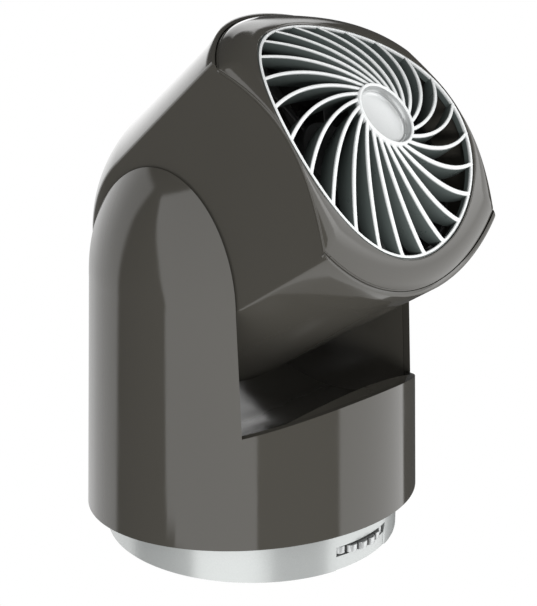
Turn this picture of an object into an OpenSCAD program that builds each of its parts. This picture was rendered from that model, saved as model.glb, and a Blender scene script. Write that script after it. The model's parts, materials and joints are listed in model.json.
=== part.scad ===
// Table air circulator: a fan head that tilts between the two arms of a round body,
// on a silver base ring with a thumbwheel for the speed.
// The front faces -Y, the tilt axis lies along X and the body stands on Z = 0.

/* [Body shell] */
// Radius of the body at its lower edge
body_r = 84; // [80:1:90]
// Inward lean of the body wall, in degrees
body_lean = 2.27; // [1.8:0.1:2.6]
// Wall of the body shell
shell_wall = 2.5; // [2:0.1:3]
// Height of the shell's lower edge on the body axis
edge_h = 17.8; // [16.5:0.1:19]
// Rise of the shell's lower edge towards the front, in degrees
edge_rise = 4.7; // [3.5:0.1:5.2]
// Height where the arm tops start to curve in
arm_spring_h = 130.5; // [125:0.5:136]
// Profile radius of the arm tops
arm_top_r = 108.5; // [102:0.5:116]
// Depth of an arm at its widest
arm_depth = 21.6; // [20.5:0.1:24]
// Drop from the tilt axis to the wall between the arms, at its middle
rim_below = 62; // [60:0.2:65]
// Fall of that wall from its middle to the arms
rim_fall = 12.5; // [10:0.1:15]
// Wall of the cradle under the head
cradle_wall = 2.2; // [1.8:0.1:2.6]
// Space between the head and the cradle's hollow
cradle_gap = 18.2; // [14:0.2:20]
// Thickness of the arm covers
cover_t = 2.2; // [1.8:0.1:2.6]

/* [Base] */
// Step from the body's edge in to the silver base ring
ring_inset = 9.7; // [8.5:0.1:11]
// Wall of the base ring
ring_wall = 2.5; // [2:0.1:3]
// Lower edge of the dial slot
slot_low = 7.9; // [7.5:0.1:8.5]
// Height of the dial slot
slot_h = 5.2; // [4.8:0.1:5.4]
// Width of the dial slot
slot_w = 37; // [34:0.5:40]
// Thickness of the base plate
plate_t = 2.5; // [2:0.1:3]
// Thickness of the floor under the body
floor_t = 2.5; // [2:0.1:3]
// Step from the shell's lower edge up to the floor
floor_step = 1.5; // [1:0.1:2]
// Radius of a rubber foot
foot_r = 7; // [5:0.5:9]
// Thickness of a rubber foot
foot_t = 3; // [2.5:0.1:3.5]
// How far a foot stands out of the base plate
foot_proud = 1.2; // [0.8:0.1:1.5]
// Distance of a foot's middle from the ring's outside
foot_inset = 18.3; // [15:0.1:24]

/* [Head] */
// Height of the tilt axis above the place where the arm tops start to curve in
pivot_rise = 18.9; // [16:0.1:22]
// Rise of the fan axis above level in the shown pose, in degrees
rest_tilt = 37.3; // [30:0.1:50]
// Height of the fan axis above the tilt axis, measured up the face
axis_off = 3; // [0:0.1:4]
// Step from the body's edge in to the head's round form
head_inset = 8.2; // [7:0.1:9.5]
// Running gap beside the head
side_gap = 1; // [0.8:0.1:1.4]
// Wall of the head shell
head_wall = 2.2; // [1.8:0.1:2.6]
// Step by which the underside is flatter than the round form
under_flat = 9.3; // [8:0.1:11]
// How much larger the underside's curve radius is than the head's
under_spread = 17.3; // [15:0.1:20]
// Fall of the underside towards the front, in degrees
under_slope = 5.3; // [4:0.1:6]
// Lean of the bezel against the fan axis, in degrees
bezel_lean = 4.5; // [3.5:0.1:5.5]
// Distance from the tilt axis to the bezel seam, at its middle above
seam_top = 76; // [75:0.1:78]
// Distance from the tilt axis to the bezel seam, at its middle below
seam_low = 69; // [68:0.1:72]
// Distance from the tilt axis to the front of the flat side
crease_s = 96.6; // [95.6:0.1:97]
// Step from the fan axis down to the middle of the flat side's curved front
crease_drop = 9.3; // [8:0.1:11]
// Fall of the flat side's front per unit of distance from its middle
crease_slope = 0.89; // [0.8:0.01:1]
// Height of the bezel's edge band
bezel_edge = 1; // [0.8:0.1:1.4]
// Swell of the bezel's front over a straight one, as a share of its width
swell_share = 0.09; // [0:0.01:0.12]
// More swell towards the two corners above, as a share of its width
corner_swell_share = 0.13; // [0:0.01:0.18]
// Width of the groove between the bezel and the head shell
groove_w = 0.45; // [0.35:0.05:0.7]
// Wall of the bezel
bezel_wall = 1.6; // [1.3:0.1:2]
// Depth of the bezel's inner lip
lip_depth = 4.2; // [3.8:0.1:4.6]
// Wall of the bezel's inner lip
lip_wall = 1.1; // [0.9:0.1:1.2]

/* [Grille] */
// Margin from the head's flat side in to the grille
grille_margin = 1; // [0.9:0.1:2]
// Distance from the tilt axis to the grille's rim, above and below
rim_low_s = 83.1; // [82:0.1:85]
// Distance from the tilt axis to the grille's rim, at the sides
rim_side_s = 97.3; // [96.8:0.1:97.8]
// Distance from the tilt axis to the hub of the grille
hub_s = 102.5; // [101:0.1:104]
// Width of the grille's rim
rim_w = 1.8; // [1.4:0.1:2.2]
// Depth of the grille's rim
rim_d = 4; // [3.6:0.1:4.4]
// Outer radius of the grille's hub
hub_r = 15.6; // [14:0.1:17]
// Wall of the grille's hub
hub_wall = 2.4; // [2:0.1:3]
// Depth of the grille's hub
hub_d = 8; // [7:0.1:9]
// Number of spokes
spoke_count = 24; // [20:1:28]
// Thickness of a spoke
spoke_t = 1.6; // [1.2:0.1:2]
// Arc radius of a spoke, as a share of the grille's radius
spoke_arc_share = 1.0475; // [1:0.005:1.1]
// Distance of a spoke's arc centre from the fan axis, as a share of the grille's radius
spoke_centre_share = 0.8966; // [0.86:0.005:0.94]
// Depth of a spoke at the hub
spoke_hub_d = 7; // [6:0.1:8]
// Depth of a spoke at the rim
spoke_rim_d = 5; // [4.2:0.1:5.6]
// Extra depth of a spoke at its middle
spoke_swell = 5; // [3:0.1:6]
// Depth of the dish in the hub disc
dish_d = 2; // [1.5:0.1:2.5]
// Margin from the head's flat side in to the rear opening
rear_margin = 17.1; // [15:0.1:22]

/* [Impeller and motor] */
// Gap between the blade tips and the air duct
fan_gap = 2.4; // [1.6:0.1:4]
// Number of blades
blade_count = 7; // [5:1:9]
// Hub radius of the impeller
fan_hub_r = 19; // [17:0.5:22]
// Depth of the impeller's hub
fan_hub_d = 18; // [16:0.5:20]
// Thickness of a blade
blade_t = 1.6; // [1.2:0.1:2]
// Distance from the tilt axis to the back of the impeller's hub
fan_back_s = 50; // [48:0.5:52]
// Space between the head's flat side and the air duct
duct_gap = 2.6; // [2.4:0.1:4]
// Wall of the air duct
duct_wall = 1.6; // [1.2:0.1:2]
// Length of the air duct
duct_len = 41; // [36:0.5:42]
// Radius of the motor
motor_r = 21; // [19:0.5:23]
// Wall of the motor can
can_wall = 1.2; // [1:0.1:1.5]
// Length of the motor
motor_len = 36; // [32:0.5:37]
// Distance from the tilt axis to the front of the motor
motor_front_s = 44; // [42:0.5:45]
// Radius of the motor shaft
shaft_r = 2.5; // [2:0.1:3]
// Radius of a motor bearing
bearing_r = 6; // [5:0.1:7]
// Length of a motor bearing
bearing_len = 5; // [4:0.1:6]
// Thickness of the motor carrier
carrier_t = 4; // [3:0.1:5]
// Width of an arm of the motor carrier
carrier_arm_w = 7; // [5:0.5:9]

/* [Pivots] */
// Outer radius of a pivot tube
pivot_r = 7; // [6:0.1:8]
// Bore radius of a pivot tube
pivot_bore_r = 4; // [3.5:0.1:4.5]
// Flange radius of a pivot tube
pivot_flange_r = 11; // [10:0.5:12]
// Thickness of a pivot flange
pivot_flange_t = 2; // [1.5:0.1:2.2]
// Wall of a pivot bush
bush_wall = 2; // [1.6:0.1:2.4]
// Length of a pivot bush
bush_len = 5; // [4.5:0.1:5.4]
// Thickness of the friction, wave and nut stack's washers
washer_t = 1; // [0.8:0.1:1.1]
// Thickness of a pivot nut
nut_t = 2.6; // [2.2:0.1:2.8]

/* [Dial] */
// Radius of the dial wheel over its ribs
dial_r = 26; // [25:0.1:26.5]
// Distance of the dial's axis in from the ring's outside
dial_inset = 23.2; // [22.8:0.1:24.2]
// Thickness of the dial's rim
dial_t = 3.8; // [3.4:0.1:4.2]
// Number of ribs on the dial
dial_ribs = 30; // [24:1:32]
// Radius of a rib
dial_rib_r = 1.7; // [1.4:0.1:1.9]
// Radius of the dial's spindle
spindle_r = 3; // [2.5:0.1:3.5]
// Width of the rotary switch
switch_w = 22; // [20:0.5:24]
// Depth of the rotary switch's case
switch_h = 5.5; // [5:0.1:6]

/* [Fasteners and fits] */
// Shank radius of the large screws
screw_r = 1.75; // [1.4:0.05:2]
// Head radius of the large screws
screw_head_r = 3.2; // [2.8:0.1:3.3]
// Head thickness of the large screws
screw_head_t = 1.8; // [1.4:0.1:2]
// Running clearance of a shaft in its bore
run_gap = 0.05; // [0.03:0.01:0.08]
// Seat gap between pieces that are fixed together
seat_gap = 0.1; // [0.05:0.01:0.15]
// Gap between the bezel and the head shell
seam_gap = 0.3; // [0.2:0.05:0.4]

/* [Hidden] */
$fn = 96;

// Overrun that carries every cut past its surface
over = 1;
// Reach that is larger than the whole object
reach = 4 * body_r;

pivot_h = arm_spring_h + pivot_rise;
rim_h = pivot_h - rim_below;
rim_end_h = rim_h - rim_fall;
arm_half = body_r - arm_depth;
arm_gap = 2 * arm_half;
head_half = arm_half - side_gap;
head_r = body_r - head_inset;
under_d = head_r - under_flat;
under_r = head_r + under_spread;
cradle_r = head_r + cradle_gap;
ring_r = body_r - ring_inset;
foot_place = ring_r - foot_inset;
dial_y = ring_r - dial_inset;
grille_r = head_half - grille_margin;
rear_r = head_half - rear_margin;
duct_r = head_half - duct_gap;
fan_r = duct_r - duct_wall - fan_gap;
spoke_arc_r = grille_r * spoke_arc_share;
spoke_arc_c = grille_r * spoke_centre_share;
tip_r = body_r - (arm_spring_h - edge_h) * tan(body_lean);
rim_drop = rim_h - rim_end_h;
crown_r = (arm_half * arm_half + rim_drop * rim_drop) / (2 * rim_drop);
under_c = under_r - under_d;
bezel_inset = head_wall + groove_w;
bezel_r = head_r - bezel_inset;
opening_r = grille_r + seam_gap;
pilot_r = screw_r + run_gap;

// Places of the cradle, the covers and the parts on the floor
cradle_low = pivot_h - cradle_r - 2 * cradle_wall;
cover_low = cradle_low;
ring_low = foot_proud;
boss_r = 4.6;
boss_place = body_r - shell_wall - boss_r * 0.8;
boss_len = 18;
post_r = 5;
post_place = ring_r - ring_wall - 2 * post_r - floor_step - seam_gap;
post_angle = 45;
switch_post_r = 3.4;
switch_post_x = 15;
switch_low = slot_low + slot_h + 1.1;
ear_t = 2;
ear_low = switch_low + 2.1;
ear_half = switch_post_x + switch_post_r;
small_head_t = 1.4;
small_head_r = 2.6;
small_shank_r = 1.2;
small_len = 7;
cover_boss_r = 3.4;
cover_screw_reach = 25;
// Places of the cover screws, as Y and Z, in the round area that the head's flat side always hides
cover_screw_places = [for (side = [-1, 1]) [side * cover_screw_reach, pivot_h - cover_screw_reach]];
spindle_low = ring_low + plate_t + 0.5;
socket_r = 5.5;
socket_h = 3.2;
dial_low = slot_low + (slot_h - dial_t) / 2;
dial_hub_r = 7;
dial_hub_low = ring_low + plate_t + socket_h + seam_gap;
dial_rim_w = 6;
dial_web_t = 2;
bush_z = 8.4;
inlet_r = 3.4;
inlet_bore_r = 2.6;
inlet_flange_r = 4.3;
inlet_flange_t = 1.2;

// Places in the head, as distances along the fan axis from the tilt axis
ear_r = 4.6;
carrier_place = duct_r + ear_r - seat_gap;
carrier_back_s = 32;
carrier_hub_wall = 2.4;
duct_ear_t = 3;
head_boss_r = 4.2;
head_screw_len = 18;
motor_back_s = motor_front_s - motor_len;
can_front_s = motor_front_s;
bearing_seat = bearing_r + 1.6;
rotor_r = 11.6;
rotor_gap = 0.5;
stator_len = 20;
rotor_len = 22;
motor_mid_s = motor_back_s + motor_len / 2;
shaft_back_s = motor_back_s - 3;
shaft_front_s = fan_back_s + fan_hub_d + 6;
motor_screw_place = 16;
rear_wall = 2;
rear_hub_r = 9;
rear_rim_w = 3;
lead_r = 1.8;

function duct_back_s() = carrier_back_s + carrier_t + seat_gap;
// Radius of the leaning body wall at a height
function wall_r(z) = body_r - (z - edge_h) * tan(body_lean);
// Height of the underside's curve axis above the fan axis, at a height
function under_axis(s) = under_c - s * tan(under_slope);
// Distance from the fan axis to the bezel's outline on the underside, in a direction and at a height
function under_reach(a, s) = let (
    k = pow(cos(under_slope), 2), m = pow(cos(a), 2) + k * pow(sin(a), 2),
    n = under_axis(s) * k * sin(a))
    (n + sqrt(n * n - m * (k * pow(under_axis(s), 2) - pow(under_r - bezel_inset, 2)))) / m;
// Distance from the fan axis to the bezel's outline in a direction and at a height
function outline_r(a, s) =
    min(a > 0 && a < 180 ? bezel_r : reach, head_half / max(abs(cos(a)), 0.001), under_reach(a, s));
// Height from a height in the leaning frame of the bezel
function upright_s(leaning, t) = (leaning - t * sin(bezel_lean)) / cos(bezel_lean);
// Leaning height of the cone that forms the flat sides' front, at a place across, up and along
function cone_s(x, t, s) = crease_s - crease_slope
    * (norm([x, t * cos(bezel_lean) - s * sin(bezel_lean) + crease_drop]) - head_half);
// Height of the cone at a place on a flat side, found in a few steps
function crease_at(t, s, steps = 6) = steps == 0 ? s
    : crease_at(t, upright_s(cone_s(head_half, t, s), t), steps - 1);
// Place up the face and height of the bezel's corner above, found in a few steps
corner_top_t = sqrt(pow(bezel_r, 2) - pow(head_half, 2));
corner_top_s = crease_at(corner_top_t, crease_s);
function low_corner(t, s, steps = 6) = steps == 0 ? [t, s] : let (
    next_t = under_axis(s) - sqrt(pow(under_r - bezel_inset, 2) - pow(head_half, 2)) / cos(under_slope))
    low_corner(next_t, crease_at(next_t, s), steps - 1);
corner_low_t = low_corner(-head_half, crease_s)[0];
corner_low_s = low_corner(-head_half, crease_s)[1];
// Leaning height of the bezel's corners, and the radius of the seam's arc between two of them
function corner_s(side) = side > 0
    ? corner_top_s * cos(bezel_lean) + corner_top_t * sin(bezel_lean)
    : corner_low_s * cos(bezel_lean) + corner_low_t * sin(bezel_lean);
function seam_mid(side) = side > 0 ? seam_top : seam_low;
function seam_r(side) = let (fall = corner_s(side) - seam_mid(side))
    (head_half * head_half + fall * fall) / (2 * fall);
// Leaning height of the curved seam at a distance from the middle plane
function seam_s(x, side) = seam_mid(side) + seam_r(side) - sqrt(pow(seam_r(side), 2) - x * x);
// Distance and height of the bezel's outer edge in a direction, found in a few steps
function edge_place(a, s, steps = 6) = let (r = outline_r(a, s), x = abs(r * cos(a)), t = r * sin(a))
    steps == 0 ? [r, s]
    : edge_place(a, x > head_half - run_gap ? crease_at(t, s) : upright_s(seam_s(x, sign(t)), t), steps - 1);
// Height of the grille's rim in a direction
function rim_s(a) = (rim_low_s + rim_side_s) / 2 + (rim_side_s - rim_low_s) / 2 * cos(2 * a);
// Height of the grille's front at a distance from the axis and in a direction
function grille_s(r, a) = hub_s + (rim_s(a) - hub_s) * pow(r / grille_r, 2);
// Height of the head's round back at a distance from the fan axis
function cap_s(r) = -sqrt(pow(head_r, 2) - r * r);
// A point from a distance, a direction and a height
function polar(r, a, s) = [r * cos(a), r * sin(a), s];
// Triangles of a closed ring of n sections with k points each
function ring_faces(n, k) = [for (i = [0:n - 1], j = [0:k - 1])
    let (a = i * k + j, b = i * k + (j + 1) % k,
        c = ((i + 1) % n) * k + (j + 1) % k, d = ((i + 1) % n) * k + j)
    each [[a, c, b], [a, d, c]]];
// Triangles of an open run of n sections with k points each, with both ends closed
function run_faces(n, k) = concat(
    [for (i = [0:n - 2], j = [0:k - 1])
        let (a = i * k + j, b = i * k + (j + 1) % k,
            c = (i + 1) * k + (j + 1) % k, d = (i + 1) * k + j)
        each [[a, c, b], [a, d, c]]],
    [for (j = [1:k - 2]) [0, j, j + 1]],
    [for (j = [1:k - 2]) [(n - 1) * k, (n - 1) * k + j + 1, (n - 1) * k + j]]);

// Puts a child in the head: its Z runs along the fan axis and its Y up the face
module in_head() {
    translate([0, 0, pivot_h]) rotate([90 - rest_tilt, 0, 0]) translate([0, axis_off, 0]) children();
}

// Puts a child in the plane of the shell's lower edge
module in_floor() {
    translate([0, 0, edge_h]) rotate([-edge_rise, 0, 0]) children();
}

// Turns a child's Z outwards along the tilt axis, to the left (-1) or right (1)
module on_pivot(side) {
    translate([0, 0, pivot_h]) rotate([0, 90 * side, 0]) children();
}

module ring_of(count, place, first = 0) {
    for (i = [0:count - 1]) rotate([0, 0, first + i * 360 / count]) translate([place, 0, 0]) children();
}

// A tube from its outer radius, bore and height
module tube(r, bore, h) {
    difference() {
        cylinder(r = r, h = h);
        translate([0, 0, -over]) cylinder(r = bore, h = h + 2 * over);
    }
}

// A cross-recessed screw with its head's flat underside at Z = 0 and its shank upwards
module screw(shank, length, head, head_t) {
    difference() {
        union() {
            translate([0, 0, -head_t]) cylinder(r = head, h = head_t, $fn = 32);
            cylinder(r = shank, h = length, $fn = 32);
        }
        for (turn = [0, 90]) rotate([0, 0, turn]) translate([-head * 0.6, -head * 0.12, -head_t - over])
            cube([head * 1.2, head * 0.24, over + head_t * 0.6]);
    }
}

// The body's outer form, drawn in by an inset
module body_form(inset, low) {
    translate([0, 0, low])
        cylinder(h = arm_spring_h - low, r1 = wall_r(low) - inset, r2 = tip_r - inset);
    translate([0, 0, arm_spring_h]) rotate_extrude() intersection() {
        translate([tip_r - arm_top_r, 0]) circle(r = arm_top_r - inset);
        translate([0, -over]) square([reach, reach]);
    }
}

// Everything below the crowned rim between the arms, lowered by a step
module under_crown(step) {
    translate([0, 0, rim_h - crown_r - step]) rotate([90, 0, 0])
        cylinder(r = crown_r, h = reach, center = true, $fn = 180);
}

module yoke_space() {
    difference() {
        translate([-arm_half, -reach / 2, rim_end_h - over]) cube([arm_gap, reach, reach]);
        under_crown(0);
    }
}

module body_shell() color([0.28, 0.27, 0.25]) {
    difference() {
        body_form(0, 0);
        body_form(shell_wall, -over);
        yoke_space();
        in_floor() translate([-reach / 2, -reach / 2, -reach]) cube([reach, reach, reach]);
    }
    difference() {
        intersection() {
            in_floor() ring_of(4, boss_place, post_angle)
                translate([0, 0, floor_step + floor_t + seat_gap]) cylinder(r = boss_r, h = boss_len);
            body_form(shell_wall / 2, 0);
        }
        in_floor() ring_of(4, boss_place, post_angle) cylinder(r = pilot_r, h = boss_len);
    }
    difference() {
        intersection() {
            cover_holes(cover_boss_r, arm_half + cover_t + seat_gap);
            body_form(shell_wall / 2, 0);
        }
        cover_holes(small_shank_r + run_gap, 0, arm_half + small_len + over);
    }
}

// Cylinders along X at the cover screws, from one distance to another
module cover_holes(r, start, end = reach) {
    for (side = [-1, 1], place = cover_screw_places)
        translate([side * start, place[0], place[1]]) rotate([0, 90 * side, 0])
            cylinder(r = r, h = end - start, $fn = 32);
}

// The space between the shell's walls and arm covers that the cradle fills, drawn in by a step
module cradle_form(step) {
    difference() {
        intersection() {
            body_form(shell_wall + seat_gap + step, cradle_low - step);
            translate([-arm_half + seat_gap, -reach / 2, cradle_low - step])
                cube([arm_gap - 2 * seat_gap, reach, reach]);
            under_crown(seam_gap + step);
        }
        translate([0, 0, pivot_h]) rotate([0, 90, 0])
            cylinder(r = cradle_r + step, h = reach, center = true, $fn = 180);
    }
}

module cradle() color([0.24, 0.23, 0.21]) {
    difference() {
        cradle_form(0);
        cradle_form(cradle_wall);
    }
}

module arm_cover(side) {
    difference() {
        intersection() {
            body_form(shell_wall + seat_gap, 0);
            translate([side > 0 ? arm_half : -arm_half - cover_t, -reach / 2, cover_low])
                cube([cover_t, reach, reach]);
        }
        on_pivot(side) cylinder(r = pivot_r + bush_wall + seat_gap, h = reach);
        cover_holes(small_shank_r + run_gap, 0);
    }
}

module left_arm_cover() color([0.22, 0.21, 0.19]) arm_cover(-1);
module right_arm_cover() color([0.22, 0.21, 0.19]) arm_cover(1);

module cover_screws() color("silver") {
    for (side = [-1, 1], place = cover_screw_places)
        translate([side * (arm_half - seat_gap), place[0], place[1]]) rotate([0, 90 * side, 0])
            screw(small_shank_r, small_len, small_head_r, side_gap * 0.5);
}

module shell_floor() color([0.2, 0.2, 0.19]) {
    difference() {
        union() {
            in_floor() translate([0, 0, floor_step])
                cylinder(r = body_r - shell_wall - 2 * seam_gap - floor_t * tan(body_lean), h = floor_t);
            intersection() {
                union() {
                    ring_of(4, post_place, post_angle) translate([0, 0, ring_low + plate_t + seat_gap])
                        cylinder(r = post_r, h = reach);
                    for (side = [-1, 1])
                        translate([side * switch_post_x, -dial_y, ear_low + ear_t + seat_gap])
                            cylinder(r = switch_post_r, h = reach);
                }
                in_floor() translate([-reach / 2, -reach / 2, floor_step + floor_t / 2 - reach])
                    cube([reach, reach, reach]);
            }
        }
        in_floor() ring_of(4, boss_place, post_angle) translate([0, 0, floor_step - over])
            cylinder(r = pilot_r, h = floor_t + 2 * over, $fn = 32);
        ring_of(4, post_place, post_angle) cylinder(r = pilot_r, h = edge_h, $fn = 32);
        for (side = [-1, 1]) translate([side * switch_post_x, -dial_y, ear_low])
            cylinder(r = small_shank_r + run_gap, h = small_len, $fn = 32);
        translate([0, body_r / 2, 0]) cylinder(r = pivot_r, h = reach);
    }
}

module floor_screws() color("silver") {
    in_floor() ring_of(4, boss_place, post_angle) translate([0, 0, floor_step - seat_gap])
        screw(screw_r, boss_len - screw_head_t, screw_head_r, floor_step);
}

module base_ring() color([0.8, 0.81, 0.81]) {
    difference() {
        translate([0, 0, ring_low]) cylinder(r = ring_r, h = edge_h);
        cylinder(r = ring_r - ring_wall, h = reach);
        in_floor() translate([-reach / 2, -reach / 2, floor_step - seat_gap]) cube([reach, reach, reach]);
        translate([-slot_w / 2, -ring_r - over, slot_low]) cube([slot_w, ring_r - dial_y, slot_h]);
        translate([0, ring_r, bush_z]) rotate([90, 0, 0])
            cylinder(r = inlet_r + seat_gap, h = 4 * ring_wall, center = true);
    }
}

module base_plate() color([0.17, 0.17, 0.17]) {
    difference() {
        union() {
            translate([0, 0, ring_low]) cylinder(r = ring_r - ring_wall - seat_gap, h = plate_t);
            translate([0, -dial_y, ring_low]) cylinder(r = socket_r, h = plate_t + socket_h);
        }
        ring_of(4, post_place, post_angle) translate([0, 0, -over])
            cylinder(r = pilot_r, h = plate_t + ring_low + 2 * over, $fn = 32);
        ring_of(4, post_place, post_angle) translate([0, 0, -over])
            cylinder(r = screw_head_r + seat_gap, h = ring_low + screw_head_t + over, $fn = 48);
        for (place = foot_spots) translate([place[0], place[1], -over])
            cylinder(r = foot_r + seat_gap, h = foot_t + over + seat_gap);
        translate([0, -dial_y, spindle_low - seam_gap]) cylinder(r = spindle_r + run_gap, h = reach);
    }
}

module base_screws() color("silver") {
    ring_of(4, post_place, post_angle) translate([0, 0, ring_low + screw_head_t - seat_gap])
        screw(screw_r, edge_h - 2 * screw_head_t - ring_low, screw_head_r, screw_head_t - seat_gap);
}

// Places of the feet: one in the middle and four around it
foot_spots = concat([[0, 0]], [for (a = [0:90:270]) foot_place * [cos(a), sin(a)]]);

module rubber_feet() color([0.1, 0.1, 0.1]) {
    for (place = foot_spots) translate([place[0], place[1], 0]) cylinder(r = foot_r, h = foot_t);
}

module cord_bush() color([0.12, 0.12, 0.12]) {
    translate([0, ring_r + inlet_flange_t, bush_z]) rotate([90, 0, 0]) difference() {
        union() {
            cylinder(r = inlet_flange_r, h = inlet_flange_t - seat_gap);
            cylinder(r = inlet_r, h = inlet_flange_t + ring_wall + 2 * inlet_flange_t);
            translate([0, 0, inlet_flange_t + ring_wall + seat_gap])
                cylinder(r = inlet_flange_r, h = inlet_flange_t);
        }
        translate([0, 0, -over]) cylinder(r = inlet_bore_r, h = reach);
    }
}

module terminal_block() color([0.85, 0.85, 0.8]) {
    in_floor() translate([-switch_w / 2, -switch_w / 4, floor_step + floor_t + seat_gap]) difference() {
        cube([switch_w, switch_w / 2, switch_w / 2]);
        for (i = [1:3]) translate([i * switch_w / 4, switch_w / 4, switch_w / 4])
            cylinder(r = small_shank_r, h = switch_w, $fn = 24);
    }
}

// A lead with round bends, as a chain of rounded lengths between its points
module lead(points) {
    for (i = [0:len(points) - 2]) hull() {
        translate(points[i]) sphere(r = lead_r, $fn = 12);
        translate(points[i + 1]) sphere(r = lead_r, $fn = 12);
    }
}

module body_lead() color([0.08, 0.08, 0.08]) {
    lead_x = -(arm_half + cover_t + lead_r + seam_gap);
    lead_top = pivot_h - pivot_flange_r - 3 * lead_r;
    lead_low = edge_h + floor_step + floor_t + 5 * lead_r;
    lead([for (a = [0:15:90]) [lead_x + post_r * (1 - cos(a)), 0, lead_low + post_r - post_r * sin(a)],
        [-switch_w / 2 - lead_r - seam_gap, 0, lead_low]]);
    lead([[lead_x, 0, lead_top], [lead_x, 0, lead_low + post_r]]);
}

module rotary_switch() color([0.15, 0.15, 0.16]) {
    difference() {
        translate([0, -dial_y, 0]) union() {
            translate([-switch_w / 2, -switch_w / 2, switch_low]) cube([switch_w, switch_w, switch_h]);
            translate([-ear_half, -switch_post_r, ear_low]) cube([2 * ear_half, 2 * switch_post_r, ear_t]);
        }
        translate([0, -dial_y, switch_low - over]) cylinder(r = spindle_r + run_gap, h = switch_h);
        for (side = [-1, 1]) translate([side * switch_post_x, -dial_y, ear_low - over])
            cylinder(r = small_shank_r + run_gap, h = ear_t + 2 * over, $fn = 32);
    }
}

module switch_screws() color("silver") {
    for (side = [-1, 1]) translate([side * switch_post_x, -dial_y, ear_low - seat_gap])
        screw(small_shank_r, small_len - small_head_t, small_head_r, small_head_t);
}

module speed_dial() color([0.82, 0.83, 0.83]) {
    translate([0, -dial_y, 0]) difference() {
        union() {
            translate([0, 0, dial_low]) cylinder(r = dial_r - dial_rib_r, h = dial_t);
            translate([0, 0, dial_low]) ring_of(dial_ribs, dial_r - dial_rib_r)
                cylinder(r = dial_rib_r, h = dial_t, $fn = 24);
            translate([0, 0, dial_hub_low]) cylinder(r = dial_hub_r, h = dial_low + dial_t - dial_hub_low);
        }
        translate([0, 0, dial_low + dial_web_t])
            tube(dial_r - dial_rib_r - dial_rim_w, dial_hub_r, dial_t);
        translate([0, 0, -over]) cylinder(r = spindle_r + run_gap / 2, h = reach);
    }
}

module dial_spindle() color([0.7, 0.7, 0.7]) {
    translate([0, -dial_y, spindle_low])
        cylinder(r = spindle_r, h = switch_low + switch_h - 2 * over - seat_gap - spindle_low);
}

module pivot_bush() {
    translate([0, 0, arm_half]) difference() {
        union() {
            cylinder(r = pivot_r + bush_wall, h = bush_len);
            translate([0, 0, cover_t + seat_gap]) cylinder(r = pivot_flange_r, h = bush_len / 3);
        }
        translate([0, 0, -over]) cylinder(r = pivot_r + run_gap, h = bush_len + 2 * over);
    }
}

module left_bush() color([0.9, 0.88, 0.8]) on_pivot(-1) pivot_bush();
module right_bush() color([0.9, 0.88, 0.8]) on_pivot(1) pivot_bush();

// Distances along the tilt axis where the washers and the nut start
washer_x = arm_half + bush_len + seam_gap;
wave_x = washer_x + washer_t + seat_gap;
nut_x = wave_x + washer_t + seat_gap;

module friction_washers() color([0.55, 0.35, 0.2]) {
    for (side = [-1, 1]) on_pivot(side) translate([0, 0, washer_x])
        tube(pivot_r + bush_wall + over, pivot_r + seat_gap, washer_t);
}

module wave_washers() color([0.75, 0.76, 0.78]) {
    for (side = [-1, 1]) on_pivot(side) translate([0, 0, wave_x]) rotate_extrude()
        polygon([[pivot_r + seat_gap, washer_t / 2], [pivot_r + bush_wall + over, 0],
            [pivot_r + bush_wall + over, washer_t / 2], [pivot_r + seat_gap, washer_t]]);
}

module pivot_nuts() color([0.75, 0.76, 0.78]) {
    for (side = [-1, 1]) on_pivot(side) translate([0, 0, nut_x]) difference() {
        cylinder(r = pivot_r + bush_wall + over, h = nut_t, $fn = 6);
        translate([0, 0, -over]) cylinder(r = pivot_r + run_gap, h = nut_t + 2 * over);
    }
}

module pivot_tube() {
    flange_x = head_half - head_wall - seat_gap - pivot_flange_t;
    translate([0, 0, flange_x]) difference() {
        union() {
            cylinder(r = pivot_r, h = nut_x + nut_t - flange_x);
            cylinder(r = pivot_flange_r, h = pivot_flange_t);
        }
        translate([0, 0, -over]) cylinder(r = pivot_bore_r, h = reach);
    }
}

module left_pivot() color([0.75, 0.76, 0.78]) on_pivot(-1) pivot_tube();
module right_pivot() color([0.75, 0.76, 0.78]) on_pivot(1) pivot_tube();

// The head's outer form, drawn in by an inset
module head_form(inset) {
    intersection() {
        union() {
            sphere(r = head_r - inset, $fn = 120);
            cylinder(r = head_r - inset, h = reach);
            translate([-reach / 2, -reach, 2 * head_wall]) cube(reach);
        }
        translate([-head_half + inset, -reach / 2, -reach / 2])
            cube([2 * (head_half - inset), reach, reach]);
        translate([0, under_c, 0]) rotate([under_slope, 0, 0])
            cylinder(r = under_r - inset, h = 2 * reach, center = true, $fn = 180);
    }
}

// What lies behind the flat sides' curved front and the curved seams, lowered by a step
module behind_bezel(step) {
    cone_r = head_half + crease_s / crease_slope;
    rotate([-bezel_lean, 0, 0]) difference() {
        translate([0, -crease_drop, -reach - step]) union() {
            cylinder(r = 2 * reach, h = reach);
            translate([0, 0, reach])
                cylinder(r1 = cone_r, r2 = 0, h = cone_r * crease_slope, $fn = 180);
        }
        for (side = [-1, 1])
            translate([0, side > 0 ? seam_start(side) : seam_start(side) - reach,
                seam_mid(side) + seam_r(side) - step])
                rotate([-90, 0, 0]) cylinder(r = seam_r(side), h = reach, $fn = 360);
    }
}
// Where a curved seam starts, up or down the leaning face: just inside its corners
function seam_start(side) = side > 0
    ? corner_top_t * cos(bezel_lean) - corner_top_s * sin(bezel_lean) - groove_w
    : corner_low_t * cos(bezel_lean) - corner_low_s * sin(bezel_lean) + groove_w;

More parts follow.
